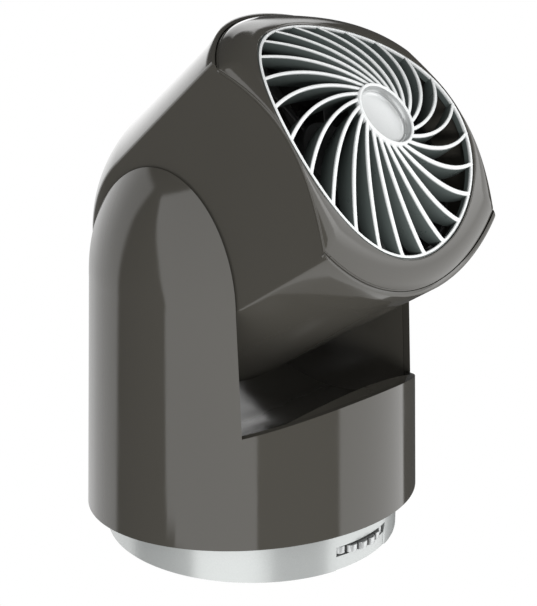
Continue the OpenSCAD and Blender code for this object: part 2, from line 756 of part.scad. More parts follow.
// The strips of the flat sides that the bezel covers, above its groove
module bezel_seat() {
    low_t = corner_low_t - groove_w;
    high_t = corner_top_t + groove_w;
    for (side = [-1, 1])
        translate([side > 0 ? head_half - bezel_inset : -reach, 0, 0]) rotate([90, 0, 90])
            linear_extrude(reach - head_half + bezel_inset) polygon([[low_t, reach],
                for (i = [0:24]) let (t = low_t + (high_t - low_t) * i / 24)
                    [t, crease_at(t, crease_s) - bezel_edge - groove_w - seat_gap],
                [high_t, reach]]);
}

module head_shell() color([0.28, 0.27, 0.25]) in_head() {
    difference() {
        intersection() {
            union() {
                difference() {
                    head_form(0);
                    head_form(head_wall);
                }
                intersection() {
                    ring_of(4, carrier_place, post_angle) translate([0, 0, carrier_back_s - seat_gap - reach])
                        cylinder(r = head_boss_r, h = reach);
                    head_form(head_wall / 2);
                }
            }
            behind_bezel(bezel_edge);
        }
        bezel_seat();
        translate([0, 0, rim_side_s - lip_depth - seam_gap])
            cylinder(r = opening_r + lip_wall + seat_gap, h = reach);
        translate([0, 0, rim_side_s - lip_depth - bezel_wall]) cylinder(r = opening_r, h = reach);
        translate([0, 0, -reach]) cylinder(r = rear_r, h = reach);
        translate([0, -axis_off, 0]) rotate([0, 90, 0])
            cylinder(r = pivot_r + seat_gap, h = reach, center = true);
        ring_of(4, carrier_place, post_angle) translate([0, 0, carrier_back_s - head_screw_len])
            cylinder(r = pilot_r, h = reach, $fn = 32);
    }
}

module head_screws() color("silver") in_head() {
    ring_of(4, carrier_place, post_angle) translate([0, 0, duct_back_s() + duct_ear_t + seat_gap])
        rotate([180, 0, 0]) screw(screw_r, head_screw_len, screw_head_r, screw_head_t);
}

// Swirling spokes: each follows an arc from the hub to the rim, with its front edge on a surface
module spokes(count, inner, outer, arc_r, arc_c, thick, front, depth, steps = 8) {
    function arc_angle(r) = -acos((r * r - arc_c * arc_c - arc_r * arc_r) / (2 * arc_c * arc_r));
    function spot(u, side, back) = let (
        b = arc_angle(inner) + (arc_angle(outer) - arc_angle(inner)) * u,
        r = arc_r + side * thick / 2,
        x = arc_c + r * cos(b), y = r * sin(b))
        [x, y, front(norm([x, y]), atan2(y, x)) - back * depth(u)];
    sections = [for (i = [0:steps]) let (u = i / steps)
        each [spot(u, -1, 0), spot(u, 1, 0), spot(u, 1, 1), spot(u, -1, 1)]];
    polyhedron(points = sections, faces = run_faces(steps + 1, 4), convexity = 4);
}

// Direction of the first spoke's arc centre
spoke_first = -34.3;

module front_grille() color([0.93, 0.94, 0.94]) in_head() {
    rim_in = grille_r - rim_w;
    rim_sections = [for (i = [0:71]) let (a = i * 5) each [
        polar(rim_in, a, rim_s(a)), polar(grille_r, a, rim_s(a)),
        polar(grille_r, a, rim_s(a) - rim_d), polar(rim_in, a, rim_s(a) - rim_d)]];
    union() {
        polyhedron(points = rim_sections, faces = ring_faces(72, 4), convexity = 6);
        translate([0, 0, hub_s - hub_d]) difference() {
            cylinder(r = hub_r, h = hub_d, $fn = 64);
            translate([0, 0, hub_wall / 2]) cylinder(r = hub_r - hub_wall, h = hub_d, $fn = 64);
        }
        for (i = [0:spoke_count - 1]) {
            turn = spoke_first + i * 360 / spoke_count;
            rotate([0, 0, turn]) spokes(spoke_count, hub_r - hub_wall / 2, grille_r - rim_w / 2,
                spoke_arc_r, spoke_arc_c, spoke_t,
                function (r, a) grille_s(r, a + turn) - run_gap,
                function (u) spoke_hub_d + (spoke_rim_d - spoke_hub_d) * u + spoke_swell * 4 * u * (1 - u));
        }
    }
}

module hub_disc() color([0.85, 0.86, 0.87]) in_head() {
    disc_r = hub_r - hub_wall - seat_gap;
    disc_low = hub_s - hub_d + hub_wall / 2 + seat_gap;
    dish_r = (disc_r * disc_r + dish_d * dish_d) / (2 * dish_d);
    difference() {
        translate([0, 0, disc_low]) cylinder(r = disc_r, h = hub_s - disc_low - seam_gap);
        translate([0, 0, hub_s - seam_gap - dish_d + dish_r]) sphere(r = dish_r, $fn = 180);
    }
}

module rear_grille() color([0.2, 0.2, 0.19]) in_head() {
    outer = rear_r - seat_gap;
    rim_in = outer - rear_rim_w;
    rim_sections = [for (i = [0:71]) let (a = i * 5) each [
        polar(rim_in, a, cap_s(rim_in) + rear_wall), polar(outer, a, cap_s(outer) + rear_wall),
        polar(outer, a, cap_s(outer)), polar(rim_in, a, cap_s(rim_in))]];
    union() {
        polyhedron(points = rim_sections, faces = ring_faces(72, 4), convexity = 6);
        rotate_extrude($fn = 48) polygon([[0, cap_s(0)],
            for (i = [1:4]) [rear_hub_r * i / 4, cap_s(rear_hub_r * i / 4)],
            [rear_hub_r, cap_s(rear_hub_r) + rear_wall], [0, cap_s(0) + rear_wall]]);
        for (i = [0:spoke_count - 1]) {
            turn = spoke_first + i * 360 / spoke_count;
            rotate([0, 0, turn]) spokes(spoke_count, rear_hub_r - rear_wall / 2, outer - rear_rim_w / 2,
                spoke_arc_r * rear_r / grille_r, spoke_arc_c * rear_r / grille_r, spoke_t,
                function (r, a) cap_s(r) + rear_wall, function (u) rear_wall - run_gap, 6);
        }
    }
}

// Directions of the bezel's sections: evenly between the four corners of the outline
corner_top = atan2(corner_top_t, head_half);
corner_low = atan2(corner_low_t, head_half);
bezel_turns = concat(
    [for (i = [0:15]) corner_low + (corner_top - corner_low) * i / 16],
    [for (i = [0:23]) corner_top + (180 - 2 * corner_top) * i / 24],
    [for (i = [0:15]) 180 - corner_top + (corner_top - corner_low) * i / 16],
    [for (i = [0:23]) 180 - corner_low + (180 + 2 * corner_low) * i / 24]);

module front_bezel() color([0.28, 0.27, 0.25]) in_head() {
    sections = [for (a = bezel_turns) let (
        place = edge_place(a, crease_s), r = place[0], s = place[1], top = rim_s(a),
        lip_r = min(opening_r + lip_wall, r),
        lip_low = (lip_r * abs(cos(a)) > head_half - 2 * head_wall ? rim_side_s : top) - lip_depth,
        swell = 4 * (swell_share + (sin(a) > 0 ? corner_swell_share * pow(sin(2 * a), 2) : 0)),
        under = min(s + (top - s) * (r - lip_r) / (r - opening_r), top) - bezel_wall) each [
        polar(opening_r, a, top),
        for (i = [1:3]) let (k = i / 4, out = swell * k * (1 - k))
            polar(opening_r + (r - opening_r) * k + (top - s) * out, a,
                top + (s - top) * k + (r - opening_r) * out),
        polar(r, a, s), polar(r, a, s - bezel_edge),
        polar(lip_r, a, max(under, s - bezel_edge)), polar(lip_r, a, lip_low),
        polar(opening_r, a, lip_low)]];
    polyhedron(points = sections, faces = ring_faces(len(bezel_turns), 9), convexity = 6);
}

module air_duct() color([0.16, 0.16, 0.16]) in_head() {
    translate([0, 0, duct_back_s()]) difference() {
        union() {
            cylinder(r = duct_r, h = duct_len);
            ring_of(4, carrier_place, post_angle) cylinder(r = ear_r, h = duct_ear_t);
            ring_of(4, duct_r - duct_wall, post_angle) translate([0, -ear_r, 0])
                cube([carrier_place - duct_r + duct_wall, 2 * ear_r, duct_ear_t]);
        }
        translate([0, 0, -over]) cylinder(r = duct_r - duct_wall, h = duct_len + 2 * over);
        ring_of(4, carrier_place, post_angle) translate([0, 0, -over])
            cylinder(r = pilot_r, h = duct_ear_t + 2 * over, $fn = 32);
    }
}

module motor_carrier() color([0.18, 0.18, 0.18]) in_head() {
    hub_outer = motor_r + seat_gap + carrier_hub_wall;
    difference() {
        union() {
            translate([0, 0, carrier_back_s])
                cylinder(r = hub_outer, h = can_front_s + seat_gap + can_wall - carrier_back_s);
            translate([0, 0, carrier_back_s]) ring_of(4, carrier_place, post_angle)
                cylinder(r = ear_r, h = carrier_t);
            translate([0, 0, carrier_back_s]) ring_of(4, motor_r + seat_gap + over, post_angle)
                translate([0, -carrier_arm_w / 2, 0])
                    cube([carrier_place - motor_r - seat_gap - over, carrier_arm_w, carrier_t]);
        }
        translate([0, 0, carrier_back_s - over])
            cylinder(r = motor_r + seat_gap, h = can_front_s + seat_gap + over - carrier_back_s);
        cylinder(r = bearing_seat + seat_gap, h = reach);
        ring_of(4, carrier_place, post_angle) cylinder(r = pilot_r, h = reach, $fn = 32);
        ring_of(2, motor_screw_place, 0) cylinder(r = small_shank_r + run_gap, h = reach, $fn = 32);
    }
}

module motor_can() color([0.55, 0.56, 0.58]) in_head() {
    difference() {
        union() {
            translate([0, 0, motor_back_s]) cylinder(r = motor_r, h = motor_len);
            translate([0, 0, motor_back_s - over]) cylinder(r = bearing_seat, h = motor_len + 2 * over);
        }
        difference() {
            translate([0, 0, motor_back_s + can_wall])
                cylinder(r = motor_r - can_wall, h = motor_len - 2 * can_wall);
            for (s = [motor_back_s - over, can_front_s + over - bearing_len]) translate([0, 0, s])
                cylinder(r = bearing_seat, h = bearing_len);
        }
        for (s = [motor_back_s - 2 * over, can_front_s + over - bearing_len]) translate([0, 0, s])
            cylinder(r = bearing_r + seat_gap / 2, h = bearing_len + over);
        ring_of(2, motor_screw_place, 0) translate([0, 0, can_front_s - 2 * can_wall])
            cylinder(r = small_shank_r + run_gap, h = reach, $fn = 32);
    }
}

module motor_bearing(s) {
    translate([0, 0, s]) tube(bearing_r, shaft_r + run_gap, bearing_len - seat_gap);
}

module rear_bearing() color([0.72, 0.6, 0.35]) in_head() motor_bearing(motor_back_s - over);
module front_bearing() color([0.72, 0.6, 0.35]) in_head() motor_bearing(can_front_s + over - bearing_len);

module motor_stator() color([0.7, 0.4, 0.2]) in_head() {
    translate([0, 0, motor_mid_s - stator_len / 2]) difference() {
        cylinder(r = motor_r - can_wall - seat_gap, h = stator_len);
        translate([0, 0, -over]) cylinder(r = rotor_r + rotor_gap, h = stator_len + 2 * over);
        ring_of(6, (motor_r + rotor_r) / 2, 0) translate([0, 0, -over])
            cylinder(r = rotor_r / 5, h = stator_len + 2 * over, $fn = 32);
    }
}

module motor_rotor() color([0.6, 0.6, 0.62]) in_head() {
    translate([0, 0, motor_mid_s - rotor_len / 2]) tube(rotor_r, shaft_r + run_gap / 2, rotor_len);
}

module motor_shaft() color([0.8, 0.8, 0.82]) in_head() {
    translate([0, 0, shaft_back_s]) cylinder(r = shaft_r, h = shaft_front_s - shaft_back_s);
}

module motor_screws() color("silver") in_head() {
    ring_of(2, motor_screw_place, 0) translate([0, 0, can_front_s + 2 * seat_gap + can_wall])
        rotate([180, 0, 0]) screw(small_shank_r, 3 * can_wall, small_head_r, small_head_t);
}

module motor_lead() color([0.08, 0.08, 0.08]) in_head() {
    lead_start = motor_r - 3 * lead_r;
    lead([[-lead_start, 0, motor_back_s - lead_r - seat_gap], [-lead_start - lead_r, 0, lead_r],
        [-lead_start - 3 * lead_r, -axis_off, 0], [-arm_half, -axis_off, 0]]);
}

// A blade: its chord turns from steep at the hub to flat at the tip
module blade() {
    steps = 6;
    across = 4;
    hub_pitch = 48;
    tip_pitch = 27;
    hub_chord = 18;
    tip_chord = 34;
    camber_share = 0.12;
    function spot(u, v, face) = let (
        r = fan_hub_r - over + (fan_r - fan_hub_r + over) * u,
        pitch = hub_pitch + (tip_pitch - hub_pitch) * u,
        chord = hub_chord + (tip_chord - hub_chord) * u,
        along = (v - 0.5) * chord, rise = camber_share * chord * 4 * v * (1 - v) + face * blade_t / 2,
        side = along * cos(pitch) - rise * sin(pitch),
        s = along * sin(pitch) + rise * cos(pitch),
        turn = side / r * 180 / PI)
        polar(r, turn, s);
    sections = [for (i = [0:steps]) let (u = i / steps) each concat(
        [for (j = [0:across]) spot(u, j / across, -1)],
        [for (j = [across:-1:0]) spot(u, j / across, 1)])];
    polyhedron(points = sections, faces = run_faces(steps + 1, 2 * across + 2), convexity = 4);
}

module impeller() color([0.13, 0.13, 0.14]) in_head() {
    translate([0, 0, fan_back_s]) difference() {
        union() {
            difference() {
                cylinder(r = fan_hub_r, h = fan_hub_d);
                translate([0, 0, -over]) cylinder(r = fan_hub_r - 2 * blade_t, h = fan_hub_d - blade_t);
            }
            cylinder(r = 3 * shaft_r, h = fan_hub_d);
            ring_of(blade_count, 0) translate([0, 0, fan_hub_d / 2]) blade();
        }
        translate([0, 0, -over]) cylinder(r = shaft_r + run_gap / 2, h = fan_hub_d + 2 * over);
    }
}

module impeller_nut() color([0.75, 0.76, 0.78]) in_head() {
    translate([0, 0, fan_back_s + fan_hub_d + seat_gap]) difference() {
        cylinder(r = 2 * shaft_r, h = 4, $fn = 6);
        translate([0, 0, -over]) cylinder(r = shaft_r + run_gap, h = reach);
    }
}

body_shell();
cradle();
left_arm_cover();
right_arm_cover();
cover_screws();
shell_floor();
floor_screws();
base_ring();
base_plate();
base_screws();
rubber_feet();
cord_bush();
terminal_block();
body_lead();
rotary_switch();
switch_screws();
speed_dial();
dial_spindle();
left_bush();
right_bush();
friction_washers();
left_pivot();
right_pivot();
wave_washers();
pivot_nuts();
head_shell();
head_screws();
rear_grille();
front_bezel();
front_grille();
hub_disc();
air_duct();
motor_carrier();
motor_can();
motor_stator();
front_bearing();
rear_bearing();
motor_screws();
motor_lead();
motor_rotor();
motor_shaft();
impeller();
impeller_nut();
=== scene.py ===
import json
import math

import bmesh
import bpy
import numpy as np
from bpy.props import FloatProperty, FloatVectorProperty, IntProperty, PointerProperty
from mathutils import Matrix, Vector


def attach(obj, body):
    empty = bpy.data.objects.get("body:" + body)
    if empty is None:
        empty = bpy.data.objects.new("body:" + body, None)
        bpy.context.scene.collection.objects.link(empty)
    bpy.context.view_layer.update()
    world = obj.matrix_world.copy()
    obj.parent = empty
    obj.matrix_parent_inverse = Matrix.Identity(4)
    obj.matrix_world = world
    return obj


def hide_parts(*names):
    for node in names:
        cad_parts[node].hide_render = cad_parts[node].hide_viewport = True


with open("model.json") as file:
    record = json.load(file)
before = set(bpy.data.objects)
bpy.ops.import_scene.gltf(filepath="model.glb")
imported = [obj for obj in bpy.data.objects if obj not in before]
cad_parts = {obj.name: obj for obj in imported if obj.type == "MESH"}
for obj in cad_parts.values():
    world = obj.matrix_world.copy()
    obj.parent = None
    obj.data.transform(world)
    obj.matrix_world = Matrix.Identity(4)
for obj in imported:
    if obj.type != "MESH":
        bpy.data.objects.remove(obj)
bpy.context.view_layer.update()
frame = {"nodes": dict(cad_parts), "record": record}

bl_info = {
    "name": "Table air circulator",
    "version": (1, 0, 0),
    "blender": (4, 5, 0),
    "location": "View3D > Sidebar > Fan",
    "description": "Dresses a tilting table fan: shell, head, grille, base, dial and studio",
    "category": "Object",
}

# A gap too thin to see, kept between surfaces that would otherwise lie in each other
HAIR = 0.0001


def length(name, text, metres):
    """A size in metres, for the sidebar."""
    return FloatProperty(name=name, description=text, default=metres, unit="LENGTH", precision=4)


def turn(name, text, degrees):
    """An angle, written here in degrees and kept in radians."""
    return FloatProperty(
        name=name, description=text, default=math.radians(degrees), subtype="ANGLE"
    )


def number(name, text, value, least=0.0):
    """A plain number with its least value."""
    return FloatProperty(name=name, description=text, default=value, min=least)


def count(name, text, value, least):
    """A whole number with its least value."""
    return IntProperty(name=name, description=text, default=value, min=least)


def linear(channel):
    """Scene-linear value of one screen colour channel from 0 to 255, by the usual screen curve."""
    share = channel / 255
    return share / 12.92 if share <= 0.04045 else ((share + 0.055) / 1.055) ** 2.4


def colour(name, text, red, green, blue):
    """A colour, written here as a screen colour from 0 to 255."""
    return FloatVectorProperty(
        name=name, description=text, subtype="COLOR", size=3, min=0, max=1,
        default=(linear(red), linear(green), linear(blue)),
    )


class BodySizes(bpy.types.PropertyGroup):
    """Sizes of the round body with its two arms."""

    radius: length("Radius", "Radius of the body at its lower edge", 0.084)
    lean: turn("Lean", "Inward lean of the wall", 2.27)
    wall: length("Wall", "Wall of the shell", 0.0025)
    edge_h: length("Edge height", "Height of the lower edge on the body's axis", 0.0178)
    edge_rise: turn("Edge rise", "Rise of the lower edge towards the front", 4.7)
    spring_h: length("Arm spring", "Height where the arm tops start to curve in", 0.1305)
    top_r: length("Arm top radius", "Profile radius of the arm tops", 0.1085)
    arm_gap: length("Arm gap", "Gap between the arms", 0.1248)
    rim_h: length("Rim height", "Height of the wall between the arms, at its middle", 0.0874)
    rim_end_h: length("Rim end", "Height of that wall where it meets the arms", 0.0749)


class HeadSizes(bpy.types.PropertyGroup):
    """Sizes of the head that tilts between the arms."""

    pivot_h: length("Pivot height", "Height of the tilt axis", 0.1494)
    tilt: turn("Tilt", "Rise of the fan axis in the stored pose", 37.3)
    axis_off: length("Axis offset", "Distance of the fan axis from the tilt axis", 0.003)
    radius: length("Radius", "Radius of the head", 0.0758)
    half: length("Half width", "Distance of a flat side from the middle", 0.0614)
    wall: length("Wall", "Wall of the head shell", 0.0022)
    under_d: length("Underside", "Depth of the underside below the fan axis", 0.0665)
    under_r: length("Underside radius", "Curve radius of the underside", 0.0931)
    under_slope: turn("Underside slope", "Fall of the underside towards the front", 5.3)
    lean: turn("Bezel lean", "Lean of the bezel against the fan axis", 4.5)
    seam_top: length("Seam above", "Distance of the bezel seam, at its middle above", 0.076)
    seam_low: length("Seam below", "Distance of the bezel seam, at its middle below", 0.069)
    crease: length("Crease", "Distance of the front of a flat side", 0.0966)
    crease_drop: length("Crease drop", "Step from the fan axis down to its middle", 0.0093)
    crease_slope: number("Crease slope", "Fall of the crease from its middle", 0.89)
    edge: length("Bezel edge", "Height of the bezel's edge band", 0.001)
    gap: length("Seam gap", "Gap between bezel and head shell", 0.0002)
    lip: length("Lip", "Depth of the bezel's inner lip", 0.0042)
    swell: number("Swell", "Swell of the bezel's front, as a share of its width", 0.09)
    corner_swell: number("Corner swell", "More swell towards the corners above", 0.13)
    shoulder: length("Shoulder", "Rounding of the shell's mouth above and below", 0.0009)
    round_r: length("Edge rounding", "Rounding of the flat sides' long edges", 0.0007)


class GrilleSizes(bpy.types.PropertyGroup):
    """Sizes of the front grille and of what turns behind it."""

    radius: length("Radius", "Outer radius of the grille", 0.0604)
    low: length("Rim low", "Distance of the rim above and below", 0.0831)
    side: length("Rim side", "Distance of the rim at the sides", 0.0973)
    hub_s: length("Hub", "Distance of the hub from the tilt axis", 0.1025)
    rim_w: length("Rim width", "Width of the rim", 0.0018)
    rim_d: length("Rim depth", "Depth of the rim", 0.004)
    hub_r: length("Hub radius", "Outer radius of the hub", 0.0156)
    hub_wall: length("Hub wall", "Wall of the hub", 0.0024)
    spokes: count("Spokes", "Number of spokes", 24, 6)
    spoke_t: length("Spoke", "Thickness of a spoke", 0.0016)
    arc_r: length("Arc radius", "Arc radius of a spoke", 0.06327)
    arc_c: length("Arc centre", "Distance of the arc's centre from the fan axis", 0.05415)
    first: turn("First spoke", "Direction of the first spoke's arc centre", -34.3)
    rear_r: length("Rear radius", "Radius of the rear grille", 0.0443)
    fan_r: length("Impeller radius", "Tip radius of the impeller", 0.0548)
    fan_hub_r: length("Impeller hub", "Hub radius of the impeller", 0.019)
    fan_back: length("Impeller place", "Distance of the impeller's back", 0.05)
    blades: count("Blades", "Number of blades", 7, 3)


class BaseSizes(bpy.types.PropertyGroup):
    """Sizes of the base ring and its thumbwheel."""

    radius: length("Radius", "Radius of the base ring", 0.0743)
    wall: length("Wall", "Wall of the base ring", 0.0025)
    low: length("Low", "Height of the ring's lower edge", 0.0012)
    slot_low: length("Slot", "Lower edge of the dial slot", 0.0079)
    slot_h: length("Slot height", "Height of the dial slot", 0.0052)
    slot_w: length("Slot width", "Width of the dial slot", 0.037)
    dial_r: length("Dial radius", "Radius of the thumbwheel", 0.026)
    dial_y: length("Dial place", "Distance of the thumbwheel from the body's axis", 0.0511)
    dial_t: length("Dial thickness", "Thickness of the thumbwheel", 0.0038)
    ribs: count("Ribs", "Ribs on the thumbwheel", 24, 12)


class FanColours(bpy.types.PropertyGroup):
    """Colours of the object."""

    shell: colour("Shell", "Glossy shell", 69, 67, 62)
    ring: colour("Ring", "Satin silver ring", 190, 193, 192)
    disc: colour("Disc", "Silver disc in the hub", 192, 194, 194)
    white: colour("Grille front", "Front edges of the grille", 236, 238, 238)
    fin: colour("Grille sides", "Sides of the grille's fins", 90, 98, 96)
    black: colour("Black", "Black mouldings", 30, 30, 30)
    floor: colour("Floor", "Studio floor and backdrop", 255, 255, 255)


class StageSettings(bpy.types.PropertyGroup):
    """Lamps and camera."""

    lens: number("Lens", "Focal length in mm", 69.157, 10.0)
    shift: number("Shift", "Sideways shift of the picture", 0.0274, -1.0)
    sky: number("Sky", "Level of the light from all round", 0.36)
    key: number("Key", "Power of each of the three broad lamps in watts", 6)
    front: number("Front", "Power of the low lamp near the camera in watts", 12)
    card: number("Cards", "Level of the reflected cards", 2.4)


def settings(kind):
    """One group of settings of the scene."""
    return getattr(bpy.context.scene, "fan_" + kind)


def tone(name):
    """One of the object's colours, as three numbers."""
    return tuple(getattr(settings("colours"), name))


class Reading:
    """One number of a material. Sums written with it add their Math nodes."""

    def __init__(self, paint, socket):
        self.paint, self.socket = paint, socket

    def sum(self, operation, first, second):
        return self.paint.add("Math", {0: first, 1: second}, operation=operation)

    def __add__(self, other):
        return self.sum("ADD", self, other)

    def __sub__(self, other):
        return self.sum("SUBTRACT", self, other)

    def __rsub__(self, other):
        return self.sum("SUBTRACT", other, self)

    def __mul__(self, other):
        return self.sum("MULTIPLY", self, other)

    __radd__ = __add__
    __rmul__ = __mul__


class Paint:
    """A material's nodes, or the world's."""

    def __init__(self, owner):
        owner.use_nodes = True
        self.owner, self.tree = owner, owner.node_tree

    def add(self, kind, sockets=None, out=0, **words):
        """Adds a node: its own settings first, then its sockets."""
        node = self.tree.nodes.new("ShaderNode" + kind)
        for word, value in words.items():
            setattr(node, word, value)
        self.fill(node, sockets or {})
        return Reading(self, node.outputs[out])

    def fill(self, node, sockets):
        """Sets or links a node's sockets, by name or number."""
        for name, value in sockets.items():
            if isinstance(value, Reading):
                self.tree.links.new(value.socket, node.inputs[name])
            else:
                node.inputs[name].default_value = value

    def stored(self, name):
        """The number that each point keeps under a name."""
        return self.add("Attribute", out=2, attribute_name=name)

    def place(self, scale=(1, 1, 1)):
        """The object's own coordinates in metres, stretched by a scale."""
        spot = self.add("TexCoord", out=3)
        return self.add("Mapping", {"Vector": spot, "Scale": scale})

    def noise(self, scale, detail=3.0, spot=None, rough=0.5):
        """A soft noise from 0 to 1, with its cells per metre."""
        sockets = {"Vector": spot or self.place(), "Scale": scale, "Detail": detail}
        return self.add("TexNoise", {**sockets, "Roughness": rough})

    def spread(self, reading, low, high, start=0.0, end=1.0):
        """Carries a reading from start..end to low..high."""
        return self.add("MapRange", {0: reading, 1: start, 2: end, 3: low, 4: high})

    def vary(self, noise, low, high):
        """Carries the middle of a noise, where most of it lies, to low..high."""
        return self.spread(noise, low, high, 0.3, 0.7)

    def tint(self, factor, *pair):
        """A colour between two colours, each three numbers or a reading."""
        first, second = ((*one, 1) if isinstance(one, tuple) else one for one in pair)
        return self.add("Mix", {0: factor, 6: first, 7: second}, out=2, data_type="RGBA")

    def mottle(self, noise, base, low, high):
        """A colour between two shares of itself, by a noise."""
        return self.tint(noise, shade(base, low), shade(base, high))

    def bump(self, height, distance, strength=1.0):
        """A surface relief of a height from 0 to 1 times a distance in metres."""
        return self.add("Bump", {"Height": height, "Distance": distance, "Strength": strength})

    def surface(self, **sockets):
        """Fills the shader's sockets; an underscore in a name stands for a space."""
        shader = self.tree.nodes["Principled BSDF"]
        self.fill(shader, {name.replace("_", " "): value for name, value in sockets.items()})
        return self.owner

    def glow(self, strength, tint=(1.0, 1.0, 1.0)):
        """Light of a colour at a strength."""
        return self.add("Emission", {"Color": (*tint, 1), "Strength": strength})

    def show(self, shader):
        """Makes a shader the material's surface."""
        output = self.tree.nodes["Material Output"]
        self.tree.links.new(shader.socket, output.inputs["Surface"])
        return self.owner

    def rays(self, *kinds):
        """Sum of the tests for some kinds of ray, such as Camera."""
        tests = self.add("LightPath").socket.node.outputs
        first, *rest = (Reading(self, tests["Is " + kind + " Ray"]) for kind in kinds)
        return sum(rest, first)


def shade(base, share):
    """A colour made lighter or darker by a share."""
    return tuple(min(1.0, channel * share) for channel in base)


MATERIALS = {}


def material(name, make):
    """The material of that name, made once."""
    if name not in MATERIALS:
        MATERIALS[name] = make(Paint(bpy.data.materials.new(name)))
    return MATERIALS[name]


def glossy_shell(paint):
    """Glossy moulded plastic: faint flow marks, a fine skin, and gloss that varies a little."""
    flow = paint.noise(14, 2, paint.place((1, 1, 0.35)))
    return paint.surface(
        Base_Color=paint.mottle(flow, tone("shell"), 0.95, 1.05),
        Roughness=paint.vary(paint.noise(45, 4), 0.05, 0.11),
        Normal=paint.bump(paint.noise(700, 2), 0.00002, 0.25),
        IOR=1.52,
    )


def cradle_shell_painted_light(paint):
    """The same plastic inside the yoke, a little duller, with painted light: a paler copy of the
    shell colour for the shaded cavity.
    """
    haze = paint.noise(60, 4)
    return paint.surface(
        # Painted light: the shell colour made a quarter lighter.
        Base_Color=paint.mottle(haze, shade(tone("shell"), 1.25), 0.92, 1.08),
        Roughness=paint.vary(haze, 0.14, 0.24),
        Normal=paint.bump(paint.noise(600, 2), 0.00003, 0.3),
        IOR=1.5,
    )


def silver_paint(base, rough, flake, metal=0.4):
    """Silver paint: fine flakes that vary the colour, the gloss and the relief."""

    def make(paint):
        fleck = paint.noise(flake, 2)
        return paint.surface(
            Base_Color=paint.mottle(fleck, base, 0.93, 1.06),
            Metallic=metal,
            Roughness=paint.vary(paint.noise(20, 3), rough - 0.04, rough + 0.04),
            Normal=paint.bump(fleck, 0.000015, 0.35),
        )

    return make


def dial_silver_painted_shade(paint):
    """Silver paint with painted shade between the ribs; the depth attribute is 0 on their tips."""
    silver, fleck = tone("disc"), paint.noise(1500, 2)
    depth = paint.stored("depth")
    # Painted shade: the depth runs the silver down to a near-black copy of itself.
    painted_root_shade = paint.spread(depth, 0.0, 1.0, 0.25, 0.75)
    return paint.surface(
        Base_Color=paint.tint(painted_root_shade, paint.mottle(fleck, silver, 0.95, 1.2), shade(silver, 0.06)),
        Metallic=0.4,
        Roughness=paint.vary(paint.noise(60, 3), 0.22, 0.3),
        Normal=paint.bump(fleck, 0.000015, 0.35),
    )


def grille_two_tone_painted_shade(paint):
    """White front edges on green-grey fins, with painted shade that darkens the fins further in;
    the depth attribute is 0 at the front.
    """
    depth = paint.stored("depth")
    cloud = paint.noise(120, 3)
    mix = paint.spread(depth + (cloud - 0.5) * 0.02, 0.0, 1.0, 0.05, 0.12)
    # Painted shade: the fin colour falls to about a third of itself at the back of a spoke.
    deep = paint.spread(depth, 0.0, 1.0, 0.1, 1.0)
    return paint.surface(
        Base_Color=paint.tint(mix, tone("white"), paint.mottle(deep, tone("fin"), 1, 0.35)),
        Roughness=paint.vary(cloud, 0.26, 0.36),
        Normal=paint.bump(paint.noise(900, 2), 0.00002, 0.3),
    )


def moulded(base, rough, grain=500, relief=0.00004):
    """Moulded plastic or rubber with a fine spark-eroded grain."""

    def make(paint):
        cloud = paint.noise(grain / 12, 3)
        return paint.surface(
            Base_Color=paint.mottle(cloud, base, 0.88, 1.12),
            Roughness=paint.vary(cloud, rough - 0.06, rough + 0.06),
            Normal=paint.bump(paint.noise(grain, 3, rough=0.6), relief, 0.5),
        )

    return make


def turned(base, rough, lines=(30, 30, 900)):
    """Metal with fine lines along one direction and a little stain."""

    def make(paint):
        streak = paint.noise(1.0, 3, paint.place(lines))
        return paint.surface(
            Base_Color=paint.mottle(paint.noise(90, 3), base, 0.86, 1.05),
            Metallic=1.0,
            Roughness=paint.vary(streak, rough - 0.08, rough + 0.1),
            Normal=paint.bump(streak, 0.00002, 0.4),
        )

    return make


def winding(paint):
    """Lacquered copper wire: close turns as a fine wave."""
    sockets = {"Vector": paint.place(), "Scale": 900.0, "Distortion": 1.5}
    wave = paint.add("TexWave", sockets, out=1)
    return paint.surface(
        Base_Color=paint.tint(wave, (0.23, 0.07, 0.02), (0.52, 0.2, 0.07)),
        Metallic=0.7,
        Roughness=paint.spread(wave, 0.25, 0.45),
        Normal=paint.bump(wave, 0.0001, 0.6),
    )


def finishes():
    """The maker of each material slot's finish."""
    black = tone("black")
    return {
        "shell_plastic": glossy_shell,
        "cradle_plastic": cradle_shell_painted_light,
        "ring_silver": silver_paint(tone("ring"), 0.25, 1500),
        "dial_silver": dial_silver_painted_shade,
        "disc_silver": silver_paint(tone("disc"), 0.3, 1800, 0.5),
        "grille_white": grille_two_tone_painted_shade,
        "black_plastic": moulded(black, 0.5),
        "impeller_plastic": moulded(black, 0.38, 300),
        "foot_rubber": moulded(shade(black, 0.7), 0.75, 400, 0.00008),
        "lead_cover": moulded(shade(black, 0.6), 0.55, 200),
        "terminal_plastic": moulded((0.6, 0.58, 0.5), 0.5),
        "bush_plastic": moulded((0.68, 0.64, 0.52), 0.4),
        "friction_lining": moulded((0.14, 0.07, 0.035), 0.8, 900, 0.0001),
        "zinc_steel": turned((0.52, 0.53, 0.55), 0.32),
        "winding_copper": winding,
        "bearing_bronze": turned((0.5, 0.34, 0.15), 0.4),
    }


def grid(points, wrap=False):
    """Four-cornered faces of a grid of points; wrap joins its last column to its first."""
    rows, cols = points.shape[:2]
    index = np.arange(rows * cols).reshape(rows, cols)
    if wrap:
        index = np.hstack([index, index[:, :1]])
    faces = np.stack([index[:-1, :-1], index[:-1, 1:], index[1:, 1:], index[1:, :-1]], axis=-1)
    return points.reshape(-1, 3), faces.reshape(-1, 4)


def bridge(first, second, wrap=False):
    """A strip of faces between two lines of points."""
    return grid(np.stack([first, second]), wrap)


